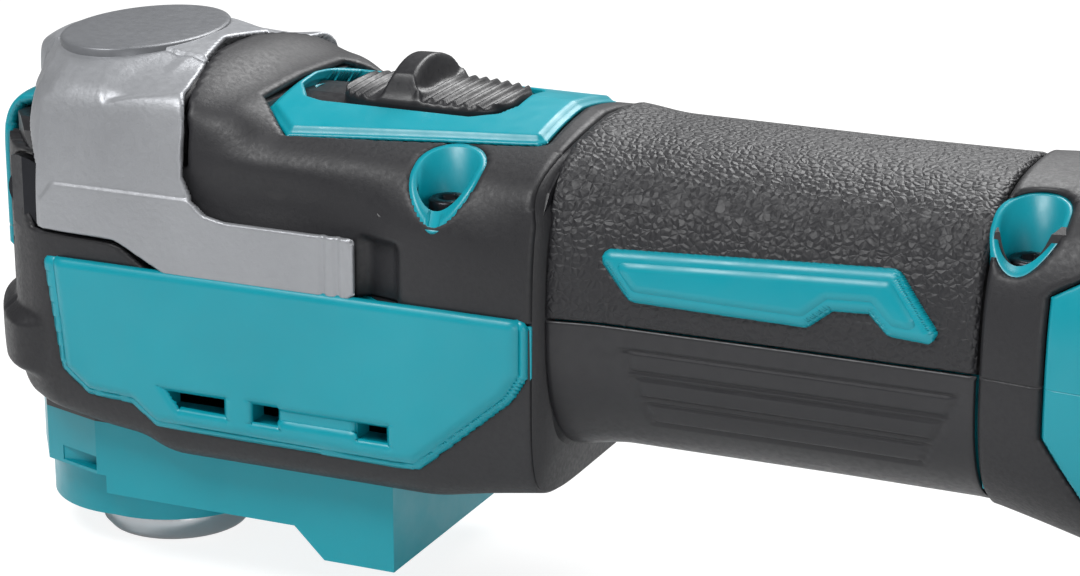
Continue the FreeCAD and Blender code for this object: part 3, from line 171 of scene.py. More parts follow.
cover_form = loft([
    (-40, -26, point_radius),
    (-26, -26, faceted((12, 50), (12, 80), (10, 82))),
    (-21, -21, faceted((21, 50), (21, 82), (17.5, 86))),
    (-15, -15, faceted((28.5, 50), (28.5, 80), (25, 86))),
    (-8, -8, faceted((30.6, 50), (30.6, 79), (25, 86))),
    (13, 13, faceted((30.6, 50), (30.6, 79), (25, 86))),
    (14, 14, faceted((30.6, 50), (30.6, 80), (29, 91.6), (23, 95.2), (14, 97))),
    (21, 21, faceted((30.6, 50), (30.6, 79), (28.8, 91), (22, 94), (14, 95.6))),
    (26, 26, faceted((30.6, 50), (30.6, 78), (28.6, 88), (22.4, 92), (14, 93), (4, 93.4))),
    (31, 31, faceted((30.6, 50), (30.6, 78), (28.8, 85.4), (22.8, 91.2), (14, 91.8), (4, 92.4))),
    (36, 36, faceted((30.6, 50), (30.6, 76), (27.8, 83.8), (22.8, 87.4), (15, 89.6), (4, 91.6))),
    (57, 57, faceted((30.6, 50), (30.6, 77), (28, 84), (23, 86.8), (15, 89.2), (4, 91.5))),
    (66, 66, faceted((33, 50), (33, 77), (28.2, 84), (23, 86.8), (15, 89.2), (4, 91.5))),
    *HEAD_REAR,
])


def outline_distance(across, up, corners):
    """Signed distance to a closed outline, negative inside: the nearest edge, and a sign by crossings."""
    ends = np.array(corners, float)
    nearest = np.full(np.shape(across), np.inf)
    inside = np.zeros(np.shape(across), bool)
    for (ax, ay), (bx, by) in zip(ends, np.roll(ends, -1, 0)):
        ex, ey = bx - ax, by - ay
        share = np.clip(((across - ax) * ex + (up - ay) * ey) / (ex * ex + ey * ey), 0, 1)
        nearest = np.minimum(nearest, np.hypot(across - ax - share * ex, up - ay - share * ey))
        crosses = (ay > up) != (by > up)
        inside ^= crosses & (across < ax + (up - ay) * ex / np.where(ey == 0, 1, ey))
    return np.where(inside, -nearest, nearest)


def ease(value):
    """Smooth step from 0 to 1: three squares less two cubes."""
    value = np.clip(value, 0, 1)
    return value * value * (3 - 2 * value)


def shared(*distances):
    """Distance to what several forms share: the greatest of their distances."""
    return np.maximum.reduce(distances)


def mesh_piece(name, points, faces, body, stands_for=(), material=None):
    """Object of points in millimetres and faces, smooth shaded, that rides on a body."""
    mesh = bpy.data.meshes.new(name)
    mesh.from_pydata((np.asarray(points) * MM).tolist(), [], [list(face) for face in faces])
    mesh.polygons.foreach_set("use_smooth", np.ones(len(mesh.polygons), bool))
    mesh.materials.append(material)
    piece = bpy.data.objects.new(name, mesh)
    bpy.context.scene.collection.objects.link(piece)
    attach(piece, body)
    if stands_for:
        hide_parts(*stands_for)
    return piece


def grid_faces(rows, columns, wrap_rows=False, wrap_columns=False):
    """Corner numbers of the quads of a grid, which may close on itself either way."""
    i = np.arange(rows if wrap_rows else rows - 1)[:, None]
    j = np.arange(columns if wrap_columns else columns - 1)[None, :]
    k, m = (i + 1) % rows, (j + 1) % columns
    quads = [i * columns + j, k * columns + j, k * columns + m, i * columns + m]
    return np.stack(quads, -1).reshape(-1, 4)


def sheet_piece(name, surface, runs, angles, distance, body="casing", stands_for=(),
                thick=1.6, roll=0.5, sink=None, material=None):
    """Skin piece: a surface trimmed to where the distance is negative, its rim rolled in, then thickened.

    The grid's points next to the rim are moved on to it along the distance's slope. A point nearer to the
    rim than the roll sinks by a quarter circle, and sink adds the hollows and steps of the piece.
    """
    u, v = np.meshgrid(np.asarray(runs, float), np.asarray(angles, float), indexing="ij")
    gap = distance(surface(u, v))
    quads = grid_faces(*u.shape)
    quads = quads[gap.ravel()[quads].mean(1) < 0]
    used, uses = np.unique(quads, return_counts=True)
    near_rim = 1.2
    rim = used[(uses < 4) & (np.abs(gap.ravel()[used]) < near_rim)]
    slope_u, slope_v = (slope.ravel() for slope in np.gradient(gap))
    step_u, step_v = np.gradient(u, axis=0).ravel(), np.gradient(v, axis=1).ravel()
    flat_u, flat_v = u.ravel(), v.ravel()
    size = slope_u[rim] ** 2 + slope_v[rim] ** 2 + 1e-6
    longest = 0.45
    for _ in range(3):
        left = distance(surface(flat_u[rim], flat_v[rim]))
        move = np.clip(left / size, -4, 4)
        flat_u[rim] -= np.clip(move * slope_u[rim], -longest, longest) * step_u[rim]
        flat_v[rim] -= np.clip(move * slope_v[rim], -longest, longest) * step_v[rim]
    flat_u, flat_v = flat_u[used], flat_v[used]
    points = surface(flat_u, flat_v)
    aside_u, aside_v = 0.3, 0.01
    tangent_u = surface(flat_u + aside_u, flat_v) - surface(flat_u - aside_u, flat_v)
    tangent_v = surface(flat_u, flat_v + aside_v) - surface(flat_u, flat_v - aside_v)
    normal = np.cross(tangent_u, tangent_v)
    normal /= np.linalg.norm(normal, axis=1, keepdims=True) + 1e-12
    core = np.stack([np.clip(points[:, 0], -5, 400), 0 * points[:, 0], 0 * points[:, 0] + MID_Z], 1)
    facing = np.sign((normal * (points - core)).sum(1, keepdims=True))
    flip = facing.sum() < 0
    normal *= facing
    depth = distance(points) + roll
    drop = roll - np.sqrt(np.maximum(roll ** 2 - np.clip(depth, 0, roll) ** 2, 0))
    if sink:
        drop = drop + sink(points)
    points = points - normal * drop[:, None]
    quads = np.searchsorted(used, quads)
    piece = mesh_piece(name, points, quads[:, ::-1] if flip else quads, body, stands_for, material)
    wall = piece.modifiers.new("wall", "SOLIDIFY")
    wall.thickness = thick * MM
    wall.offset = -1
    return piece


def groove_x(p):
    """X of the seam between head and handle, which bows forward by a millimetre over the shoulder."""
    lift = np.clip((p[..., 2] - 78) / 12, 0, 1)
    return GROOVE_X - np.sin(lift * math.pi) * np.clip(np.abs(p[..., 1]) / 12, 0, 1)


def plate_gap(p):
    """Distance to the switch plate's outline seen from above, for the upper side only."""
    return np.where(p[..., 2] > 78, outline_distance(p[..., 0], p[..., 1], PLATE_PLAN), AWAY)


def well_gap(p):
    """Distance to the screw wells, which are round and drawn out to the side."""
    x, y, z = np.moveaxis(p, -1, 0)
    side = np.abs(y)
    wells = [np.hypot(x - along, side - np.clip(side, across, across + WELL_STRETCH)) - WELL_RADIUS
             for along, across in SCREW_PLACES]
    return np.where(z > 66, np.minimum.reduce(wells), AWAY)


def nose_gap(p):
    """Distance to the front panel's outline, seen from the front, for the front only."""
    return np.where(p[..., 0] < NOSE_X, np.maximum(np.abs(p[..., 1]) - NOSE_HALF, NOSE_LOW - p[..., 2]), AWAY)


def cover_gap(p):
    """Distance to the cover's outline: above the parting, before the groove, outside all its openings."""
    x, y, z = np.moveaxis(p, -1, 0)
    pivot = PIVOT_HOLE - np.hypot(x - PIVOT[0], z - PIVOT[1]) - np.where(np.abs(y) > 20, 0, 90)
    return shared(PARTING_Z + 0.2 - z, x - groove_x(p) + HALF_SEAM, 0.2 - plate_gap(p), -well_gap(p),
                  0.2 - nose_gap(p), pivot)


def cover_hollow(p):
    """Hollows of the cover: a step down under the lever, a long scoop, a finger hollow behind the arm."""
    x, y, z = np.moveaxis(p, -1, 0)
    side = np.abs(y)
    under = 3.2 * ease((0.8 - outline_distance(x, y, LEVER_REAR)) / 0.8) * (z > 80) * (x < 23)
    scoop = 1.3 * np.exp(-((x - 40) / 13) ** 2 - ((z - 75.5) / 4.2) ** 2)
    rise = 0.5 * np.exp(-((x - 36) / 12) ** 2 - ((z - 81.5) / 2.6) ** 2)
    finger = 1.9 * ease(x - 56.5) * ease((66 - x) / 3) * ease((72.5 - z) / 2)
    return under + np.where(side > 16, scoop - rise, 0) + np.where(side > 28, finger, 0)


def linear(code):
    """Linear colour of an sRGB hex code."""
    value = np.array([int(code[k:k + 2], 16) for k in (0, 2, 4)]) / 255
    return (*np.where(value > 0.04045, ((value + 0.055) / 1.055) ** 2.4, value / 12.92), 1.0)


def add(material, kind, settings=(), **inputs):
    """Node of a material with its settings; an input is a value or another node's output."""
    tree = material.node_tree
    node = tree.nodes.new("ShaderNode" + kind)
    for name, value in dict(settings).items():
        setattr(node, name, value)
    for name, value in inputs.items():
        socket = node.inputs[int(name[1:])] if name[1:].isdigit() else node.inputs[name.replace("_", " ")]
        if isinstance(value, bpy.types.NodeSocket):
            tree.links.new(value, socket)
        else:
            socket.default_value = value
    return node


def new_material(name):
    """Material with an empty node tree."""
    material = bpy.data.materials.new(name)
    material.use_nodes = True
    material.node_tree.nodes.clear()
    return material


def moulded(name, dark, light, grain_mm, grain_depth, roughness, spread=0.08, metallic=0.0):
    """Moulded or cast finish: a grain of one size in bump and gloss, and a faint cloud of tone over it."""
    material = new_material(name)
    place = add(material, "TexCoord").outputs["Object"]
    waves_per_grain = 2.4
    grain = add(material, "TexNoise", Vector=place, Scale=1 / (grain_mm * MM * waves_per_grain), Detail=3.0,
                Roughness=0.6).outputs[0]
    cloud = add(material, "TexNoise", Vector=place, Scale=28.0, Detail=3.0)
    tone = add(material, "MapRange", Value=cloud.outputs[0], From_Min=0.3, From_Max=0.7)
    colour = add(material, "Mix", {"data_type": "RGBA"}, Factor=tone.outputs["Result"], _6=linear(dark),
                 _7=linear(light))
    gloss = add(material, "MapRange", Value=grain, From_Min=0.3, From_Max=0.7,
                To_Min=roughness - spread, To_Max=roughness + spread)
    bump = add(material, "Bump", Strength=1.0, Distance=grain_depth * MM, Height=grain)
    shader = add(material, "BsdfPrincipled", Base_Color=colour.outputs[2], Roughness=gloss.outputs["Result"],
                 Metallic=metallic, Normal=bump.outputs["Normal"])
    add(material, "OutputMaterial", Surface=shader.outputs["BSDF"])
    return material


# Overmoulded elastomer with a spark-eroded texture of about 0.35 mm: a matt, very dark grey.
elastomer = moulded("moulded_elastomer", "1f1f22", "28282b", 0.35, 0.06, 0.52)
upper_angles = np.radians(np.linspace(-4, 184, 320))
sheet_piece("head_cover_skin", cover_form, np.arange(-39.6, 92, 0.75), upper_angles, cover_gap,
            stands_for=["head_cover"], thick=1.9, sink=cover_hollow, material=elastomer)

# Upper grip: leather-grained elastomer moulded over the upper half of the handle. A long inlay of teal ABS
# is let into each side of it, with a bevel all round.
GRIP_END_X = 166.6
SEAM_Z = 61
INLAY_OUTLINE = ((101.8, 72.8), (106.8, 67), (137.2, 66.6), (141.4, 69.9), (148.4, 70.3), (151.9, 67),
                 (158.8, 66.6), (151.9, 75.3))
INLAY_ANGLES = {"right": (172, 148), "left": (32, 8)}


def inlay_gap(p):
    """Distance to the inlay's outline seen from the side, away from the handle's crown."""
    return np.where(np.abs(p[..., 1]) > 10, outline_distance(p[..., 0], p[..., 2], INLAY_OUTLINE), AWAY)


def upper_grip_gap(p):
    """Distance to the upper grip's outline: above the seam, between its two grooves, outside the inlays."""
    x, y, z = np.moveaxis(p, -1, 0)
    return shared(SEAM_Z + 0.1 - z, groove_x(p) + HALF_SEAM - x, x - GRIP_END_X + HALF_SEAM,
                  0.2 - inlay_gap(p))


# Leather grain: rounded cells of about 1.3 mm between fine creases, drawn a little coarse so that they show.
leather = new_material("leather_grained_elastomer")
place = add(leather, "TexCoord").outputs["Object"]
warp = add(leather, "TexNoise", Vector=place, Scale=420.0, Detail=2.0)
bent = add(leather, "Mix", {"data_type": "VECTOR"}, Factor=0.0012, _4=place, _5=warp.outputs[1])
cells = add(leather, "TexVoronoi", {"feature": "DISTANCE_TO_EDGE"}, Vector=bent.outputs[1],
            Scale=1 / (1.3 * MM))
crown = add(leather, "MapRange", Value=cells.outputs["Distance"], From_Max=0.35)
relief = add(leather, "Bump", Strength=1.0, Distance=0.16 * MM, Height=crown.outputs["Result"])
skin = add(leather, "BsdfPrincipled", Base_Color=linear("252528"), Roughness=0.5,
           Normal=relief.outputs["Normal"])
add(leather, "OutputMaterial", Surface=skin.outputs["BSDF"])
# Satin ABS in teal, with the faint orange peel that a polished mould leaves, about 2.2 mm across.
teal_abs = moulded("satin_teal_abs", "0091a1", "0499a9", 2.2, 0.03, 0.36)

sheet_piece("upper_grip_skin", handle, np.arange(84, 168, 0.9), upper_angles, upper_grip_gap,
            stands_for=["upper_grip"], thick=1.7, material=leather)
for side, (first, last) in INLAY_ANGLES.items():
    sheet_piece(side + "_inlay_strip", handle, np.arange(99, 162, 0.25),
                np.radians(np.linspace(first, last, 170)), lambda p: inlay_gap(p) + 0.1,
                stands_for=[side + "_inlay"], thick=1.7, roll=0.35,
                sink=lambda p: 0.5 * ease((inlay_gap(p) + 2) / 0.8), material=teal_abs)

# Groove wall: the rear face of the head's skin, of the same elastomer. It steps down to the thinner handle
# and closes the groove between the two.
RING_POINTS = 360
ring_angles = np.linspace(-math.pi, math.pi, RING_POINTS, endpoint=False)
WALL_RINGS = ((casing, 88.6, 0.7), (casing, 90.7, 0.5), (handle, 91.3, 0.3), (handle, 92.4, 0.9),
              (handle, 92.4, 2), (casing, 88.6, 3))


def ring_on(form, x, sink):
    """Ring of points round the tool on a surface, bowed like the groove and sunk by a depth."""
    points = form(np.full(RING_POINTS, float(x)), ring_angles)
    points = form(groove_x(points) - GROOVE_X + x, ring_angles)
    outward = points * (0, 1, 1) - (0, 0, MID_Z)
    return points - outward / np.linalg.norm(outward, axis=1, keepdims=True) * sink


mesh_piece("groove_wall", np.concatenate([ring_on(*ring) for ring in WALL_RINGS]),
           grid_faces(len(WALL_RINGS), RING_POINTS, True, True), "casing", [], elastomer)

# Lower grip: smoother soft rubber moulded over the lower half of the handle, with three long pads on each
# side whose ends slant. Fine grooves in the mould draw the pads.
PAD_ROWS = ((57, 53.2), (52.2, 48.4), (47.4, 43.4))
PAD_FRONT, PAD_REAR = 104, 165


def pad_edges(p):
    """Fine grooves round the pads: a narrow line where the distance to a pad's outline is nought."""
    x, y, z = np.moveaxis(p, -1, 0)
    lines = []
    for high, low in PAD_ROWS:
        corners = [(end + lean * (60 - up), up) for end, lean, up in (
            (PAD_FRONT, 0.35, high), (PAD_REAR, -0.5, high), (PAD_REAR, -0.5, low), (PAD_FRONT, 0.35, low))]
        lines.append(np.abs(outline_distance(x, z, corners)))
    return np.where(np.abs(y) > 16, 0.45 * ease(1 - np.minimum.reduce(lines) / 0.6), 0)


def lower_grip_gap(p):
    """Distance to the lower grip's outline: below the seam, between its two grooves."""
    x, y, z = np.moveaxis(p, -1, 0)
    return shared(z - SEAM_Z + 0.1, groove_x(p) + HALF_SEAM - x, x - GRIP_END_X + HALF_SEAM)


# Soft rubber from a smooth mould: a low sheen on near black.
smooth_rubber = moulded("smooth_rubber", "242427", "2b2b2e", 0.5, 0.02, 0.42)
sheet_piece("lower_grip_skin", handle, np.arange(84, 168, 0.7), np.radians(np.linspace(-180, 0, 320)),
            lower_grip_gap, stands_for=["lower_grip"], thick=1.7, sink=pad_edges,
            material=smooth_rubber)

# Side panels: teal ABS faces of the lower shell, flush in the soft band, with a chamfer along the lower and
# rear edges, three air vents and a ledge between two of them.
PANEL_OUTLINE = ((-5.6, 60.5), (-2.8, 40.7), (2.2, 36.7), (11.3, 36.2), (16.1, 32.5), (64.5, 32),
                 (68.7, 32.2), (86.4, 47.3), (89, 51.4), (89, 60.5))
VENTS = (((17.4, 40.2), (21.2, 35.2), (31.8, 35.4), (31.8, 40.2)),
         ((35.8, 35.2), (42.4, 35.2), (42.4, 40.2), (35.8, 40.2)),
         ((57, 35.2), (64.2, 35.2), (64.2, 39.9), (57, 39.9)))
LEDGE = ((42.6, 36.4), (56.6, 36.4), (56.6, 39.4), (42.6, 39.4))
# The panel's outline with its upper edge out of reach, so that the chamfer leaves that edge alone.
CHAMFER_OUTLINE = [(x, z + 12 * (z > 52)) for x, z in PANEL_OUTLINE]
PANEL_PROUD = 0.12
PANEL_ANGLES = {"right": (224, 180), "left": (-44, 0)}


def casing_round(run, angle):
    """The casing's surface for angles of more than half a turn too."""
    return casing(run, (angle + math.pi) % (2 * math.pi) - math.pi)


def panel_gap(p):
    """Distance to the side panel's outline seen from the side, away from the middle."""
    return np.where(np.abs(p[..., 1]) > 20, outline_distance(p[..., 0], p[..., 2], PANEL_OUTLINE), AWAY)


def open_panel_gap(p):
    """Distance to the panel's outline without its vents."""
    vents = [outline_distance(p[..., 0], p[..., 2], vent) for vent in VENTS]
    return shared(panel_gap(p) + 0.15, -np.minimum.reduce(vents))


def panel_steps(p):
    """Depth of the chamfer and of the ledge, less the height by which the panel stands proud of the shell."""
    x, y, z = np.moveaxis(p, -1, 0)
    chamfer = 0.9 * ease((outline_distance(x, z, CHAMFER_OUTLINE) + 2.4) / 1.5)
    ledge = 0.7 * ease(1 - outline_distance(x, z, LEDGE) / 0.6)
    return chamfer + np.where((x > 40) & (x < 60), ledge, 0) - PANEL_PROUD


for side, (first, last) in PANEL_ANGLES.items():
    sheet_piece(side + "_side_panel", casing_round, np.arange(-7, 91.5, 0.4),
                np.radians(np.linspace(first, last, 130)), open_panel_gap, thick=1.5,
                roll=0.3, sink=panel_steps, material=teal_abs)

# Band: elastomer skin under the side panels and round the nose. It bulges at the front corners, where it
# guards the tool, rises in a fin before each lever arm, and is open below for the gear housing.
BULGE_LOW, BULGE_HIGH, BULGE_DEPTH = 36.5, 50, 2.6
CHEEK = ((-18, 30), (-18, 60), (-15.5, 71), (-13, 73), (-9.2, 66.2), (8.2, 65.5), (9.9, 64.9), (16.4, 60.3),
         (95, 60.3), (95, 20), (-18, 20))
GEAR_PLAN = ((-23.2, 11.5), (-15.5, 22.2), (-2, 26.2), (60.8, 26.2), (60.8, -26.2), (-2, -26.2),
             (-15.5, -22.2), (-23.2, -11.5))
LAMP = ((-6.1, 40.4), (6.1, 40.4), (6.1, 45.6), (-6.1, 45.6))


def band_gap(p):
    """Distance to the band's outline: under the cheek line or the nose's parting, outside its openings."""
    x, y, z = np.moveaxis(p, -1, 0)
    limit = np.where(x > -17.9, outline_distance(x, z, CHEEK), z - PARTING_Z)
    gear = np.where(z < 33, outline_distance(x, y, GEAR_PLAN), AWAY)
    lamp = np.where(x < -24, outline_distance(y, z, LAMP), AWAY)
    return shared(limit + 0.1, x - groove_x(p) + HALF_SEAM, 0.15 - panel_gap(p), -gear, 0.2 - nose_gap(p),
                  -lamp)


def bulge(p):
    """Rise of the bulge: full at the front between its two heights, gone before the side panels start."""
    height = ease((p[..., 2] - BULGE_LOW) / 3) * ease((BULGE_HIGH - p[..., 2]) / 3)
    return -BULGE_DEPTH * height * ease((-6.5 - p[..., 0]) / 6)


sheet_piece("head_bumper_skin", casing_round, np.arange(-39.6, 92, 0.7),
            np.radians(np.linspace(158, 382, 400)), band_gap, stands_for=["head_bumper"],
            thick=1.8, sink=bulge, material=elastomer)

# Front panel: teal ABS plate clipped into the nose under the lever's cap, a little proud of the skins.
NOSE_PROUD = 0.9
sheet_piece("front_panel_plate", casing, np.arange(-39.9, -16, 0.4), np.linspace(-math.pi, math.pi, 300),
            lambda p: nose_gap(p) + 0.1, stands_for=["front_panel"], thick=2.2, roll=0.6,
            sink=lambda p: -NOSE_PROUD, material=teal_abs)

# Clamp lever: zinc die casting that wraps the front of the head and turns on its cam shaft. Its cap has a
# flat disc and a skirt; each arm ends in a plate that stands proud, with two grooves for the finger.
lever_form = loft([
    (-36, -20.8, point_radius),
    (-20.8, -20.8, faceted((9.5, 40), (10, 50), (9.5, 95), (7, 96))),
    (-16.5, -16.5, faceted((20, 40), (20, 86), (17.5, 93.5), (10.5, 97.4))),
    (-12, -12, faceted((29.5, 40), (29.5, 81), (26.2, 91.2), (22.4, 94.8), (16.5, 97.4))),
    (-8.2, -8.2, faceted((33.6, 40), (33.6, 76.5), (29.3, 91.6), (25.4, 94.8), (18.5, 97.4))),
    (-3, -3, faceted((34, 40), (34, 76), (29.6, 92.4), (26.4, 94.8), (20, 97.4))),
    (6, 6, faceted((34, 40), (34, 76), (29.8, 92.8), (26.2, 94.9), (17, 97.4))),
    (14, 14, faceted((34, 40), (34, 76), (29.8, 93), (24, 95.2), (8, 97.4))),
    (19, 19, faceted((34, 40), (34, 76), (29.6, 93.2), (22, 95.6), (10, 96.6))),
    (24, 24, faceted((34, 40), (34, 76), (29.4, 92.6), (14, 95.4))),
    (60, 60, faceted((34, 40), (34, 80))),
], soften=1)
LEVER_OUTLINE = ((-8, 66.5), (8.5, 66.1), (10.3, 65.4), (19.2, 60.9), (54.9, 60.9), (56.2, 61.1),
                 (57.2, 62.1), (57.2, 71.2), (56.4, 72.1), (31.5, 72.1), (27.5, 72.9), (24.6, 75.2),
                 (22.6, 79), (22.2, 84), (22, 110), (-60, 110), (-60, 84), (-12, 84), (-8.4, 78))
ARM_PLATE = ((-6.6, 60), (-6.6, 72), (-4, 75.2), (24, 75.2), (60, 75.2), (60, 60))
FINGER_GROOVES = (51.2, 54)
# The dark hollow under the cap's skirt, and the crease that rises from it to the rear edge.
NOTCH = ((1.2, 96.9), (5.2, 89.6), (11, 91.4), (30, 94.8), (30, 99), (13.5, 96.4), (11.6, 97.2))


def lever_gap(p):
    """Distance to the lever's outline: from the side, from above for the cap, over the cap's front rim."""
    x, y, z = np.moveaxis(p, -1, 0)
    return shared(outline_distance(x, z, LEVER_OUTLINE),
                  np.where(z > 79, outline_distance(x, y, LEVER_REAR), -AWAY),
                  np.where(x < -12.5, 88.3 - z, -AWAY))


def lever_relief(p):
    """Depth of the arms' relief: all but the plate lies lower, with grooves at the tip and the notch."""
    x, y, z = np.moveaxis(p, -1, 0)
    step = 0.45 * ease(0.5 + outline_distance(x, z, ARM_PLATE) / 0.5)
    grooves = 0.5 * sum(np.exp(-((x - line) / 0.45) ** 2) for line in FINGER_GROOVES) * (z < 73)
    wall = 0.9 * ease(-outline_distance(x, z, NOTCH) / 1.6) * ease((x - 2) / 7)
    front = 0.5 * ease((-5.5 - x) / 3) * ease((z - 89) / 3) * ease((96.4 - z) / 1.4)
    return np.where(np.abs(y) > 12, step + grooves + wall + front, 0)


# Die-cast zinc under a sandy silver powder coat; the grain is the powder's, about 0.5 mm.
cast_silver = moulded("powder_coated_casting", "96989c", "a6a8ac", 0.5, 0.09, 0.42, metallic=0.35)
sheet_piece("lever_shell", lever_form, np.arange(-35.8, 58.4, 0.4), np.radians(np.linspace(-6, 186, 480)),
            lever_gap, body="lever", stands_for=["lock_lever"], thick=2.6, roll=0.6,
            sink=lever_relief, material=cast_silver)

# Cap disc: the flat top of the lever's cap, coated smoother and darker than the rest of the casting.
# Its profile runs from the flat over a small round edge down to its foot in the cap.
DISC_CENTRE, DISC_HALF = (-3, 0), (14, 20)
DISC_POINTS = 96
DISC_PROFILE = ((0.94, 97.45), (0.985, 97.33), (1, 97.05), (1, 94.8))
cast_grey = moulded("smooth_coated_casting", "77797d", "7d7f83", 0.6, 0.015, 0.4, metallic=0.3)
turn = np.linspace(0, 2 * math.pi, DISC_POINTS, endpoint=False)
ellipses = [np.stack([DISC_CENTRE[0] + share * DISC_HALF[0] * np.cos(turn),
                      DISC_CENTRE[1] + share * DISC_HALF[1] * np.sin(turn),
                      np.full(DISC_POINTS, z)], -1) for share, z in DISC_PROFILE]
disc_faces = grid_faces(len(DISC_PROFILE), DISC_POINTS, wrap_columns=True).tolist() + [range(DISC_POINTS)]
mesh_piece("lever_cap_disc", np.concatenate(ellipses), disc_faces, "lever", [], cast_grey)

# Switch plate: teal ABS surround screwed on from inside, a little above the cover, with a chamfered rim and
# a long opening in which the knob slides.
OPENING = ((33, 5.5), (36.5, 10.6), (40, 11.6), (69, 11.6), (73.5, 9.4), (75.4, 5.5), (75.4, -5.5),
           (73.5, -9.4), (69, -11.6), (40, -11.6), (36.5, -10.6), (33, -5.5))


def plate_trim(p):
    """Distance to the plate's outline without its opening."""
    return shared(plate_gap(p) + 0.1, -outline_distance(p[..., 0], p[..., 1], OPENING))


def plate_rise(p):
    """The plate's crown stands one millimetre up, and a chamfer takes nine tenths of that off at the rim."""
    return 0.9 * ease((plate_gap(p) + 2.0) / 1.4) - 1.0


sheet_piece("switch_plate", casing, np.arange(29, 88, 0.4), np.radians(np.linspace(48, 132, 240)), plate_trim,
            stands_for=["switch_frame"], thick=2.6, roll=0.4, sink=plate_rise,
            material=teal_abs)

# Sliding knob: black glass-filled nylon, domed, with arc ribs before and behind a tall thumb fin.
# Its plan is a squircle of 70 rings, closed by a skirt that goes down through the plate.
KNOB_X, KNOB_HALF, KNOB_WIDE = 57.5, 16.6, 10.4
KNOB_POINTS, KNOB_POWER = 220, 3.4
RIB_PITCH, RIB_HEIGHT = 2.15, 0.75
FIN_X, FIN_HALF, FIN_WIDE, FIN_SLOPE = 54.2, 1.7, 7.6, 3.4


def knob_height(x, y):
    """Dome of the knob plus cosine ribs along arcs plus the fin, as a height over the plan."""
    along, across = (x - KNOB_X) / KNOB_HALF, y / KNOB_WIDE
    dome = 92.6 - 1.6 * across ** 2 - 1.2 * along ** 2
    arc = x + 0.02 * y ** 2
    rear = ease(arc - 58.6) * (0.5 + 0.5 * np.cos((arc - 60) / RIB_PITCH * 2 * math.pi))
    front = ease(50 - arc) * (0.5 + 0.5 * np.cos((arc - 49) / RIB_PITCH * 2 * math.pi))
    ribs = RIB_HEIGHT * np.clip(rear + front, 0, 1) * ease((1 - np.abs(across)) / 0.12)
    fin_edge = np.maximum(np.abs(x - FIN_X - 0.004 * y ** 2) - FIN_HALF, np.abs(y) - FIN_WIDE)
    fin = (4.9 - 0.018 * y ** 2) * ease(1 - fin_edge / FIN_SLOPE) ** 1.4
    return dome + ribs + fin


# Glass-filled nylon of knobs and cases: near black with a fine satin grain.
black_nylon = moulded("black_nylon", "1d1d20", "252528", 0.5, 0.03, 0.4)
turn = np.linspace(0, 2 * math.pi, KNOB_POINTS, endpoint=False)
shares = np.concatenate([[0.004], np.linspace(0.02, 0.985, 70), [1, 1, 1]])[:, None]
squircle = (np.abs(np.cos(turn)) ** KNOB_POWER + np.abs(np.sin(turn)) ** KNOB_POWER) ** (-1 / KNOB_POWER)
knob_x = KNOB_X + KNOB_HALF * shares * squircle * np.cos(turn)
knob_y = KNOB_WIDE * shares * squircle * np.sin(turn)
knob_z = knob_height(knob_x, knob_y)
knob_z[-3:] = np.array([[knob_z[-3].min() - 0.5], [90.2], [84]])
mesh_piece("thumb_slide", np.stack([knob_x, knob_y, knob_z], -1).reshape(-1, 3),
           grid_faces(len(shares), KNOB_POINTS, wrap_columns=True), "knob", ["switch_knob"],
           black_nylon)

# Screws: four socket heads in black oxide that join the shells, each at the foot of a well in the cover.
# The wells are lined with the teal ABS of the shell, and their rims follow the skin.
SCREW_POINTS = 72
HEAD_PROFILE = ((1.6, 77.4), (1.7, 78.9), (2.0, 79.1), (3.2, 79.1), (3.65, 78.7), (3.7, 75.5))
WELL_PROFILE = ((5.15, 90), (5.15, 76.9), (4.8, 76.3), (3.9, 76.2), (3.9, 75.2), (6.4, 75.2), (6.4, 90))
RIM_DEPTH = 0.25
turn = np.linspace(0, 2 * math.pi, SCREW_POINTS, endpoint=False)
hexagon = 1 / np.cos((turn + math.pi / 6) % (math.pi / 3) - math.pi / 6)


def rings_at(x, y, profile, shape=1):
    """Rings of points round a vertical line: radius and height pairs, the radius times a shape by turn."""
    return np.concatenate([np.stack([x + r * shape * np.cos(turn), y + r * shape * np.sin(turn),
                                     np.full(SCREW_POINTS, float(z))], -1) for r, z in profile])


def height_on(form, x, y):
    """Height of a surface over points of the plan: the bracket of heights is halved thirty times."""
    low, high = np.full(np.shape(x), 62.0), np.full(np.shape(x), 110.0)
    for _ in range(30):
        middle = (low + high) / 2
        there = form(x, np.arctan2(middle - MID_Z, y))
        inside = np.hypot(y, middle - MID_Z) < np.hypot(there[:, 1], there[:, 2] - MID_Z)
        low, high = np.where(inside, middle, low), np.where(inside, high, middle)
    return low


# Black oxide on steel: dark, with the gloss of the oil in it.
black_oxide = moulded("black_oxide_steel", "26272a", "303135", 0.4, 0.01, 0.34, metallic=0.9)
screw_spots = [(x, side * y) for x, y in SCREW_PLACES for side in (-1, 1)]
head_faces = grid_faces(len(HEAD_PROFILE), SCREW_POINTS, wrap_columns=True).tolist() + [range(SCREW_POINTS)]
for number, (x, y) in enumerate(screw_spots, 1):
    points = rings_at(x, y, HEAD_PROFILE)
    points[:SCREW_POINTS * 2] = rings_at(x, y, HEAD_PROFILE[:2], hexagon)
    mesh_piece(f"screw_head_{number}", points, head_faces, "casing",
               ["housing_screws"] if number == 1 else [], black_oxide)
    well = rings_at(x, y, WELL_PROFILE)
    outer_half = np.tile(np.sin(turn), len(WELL_PROFILE)) * np.sign(y) > 0.01
    well[:, 1] += WELL_STRETCH * np.sign(y) * outer_half
    for rim in (well[:SCREW_POINTS], well[-SCREW_POINTS:]):
        rim[:, 2] = height_on(cover_form if x < GROOVE_X else handle, rim[:, 0], rim[:, 1]) - RIM_DEPTH
    mesh_piece(f"screw_well_{number}", well, grid_faces(len(WELL_PROFILE), SCREW_POINTS, True, True),
               "casing", [], teal_abs)

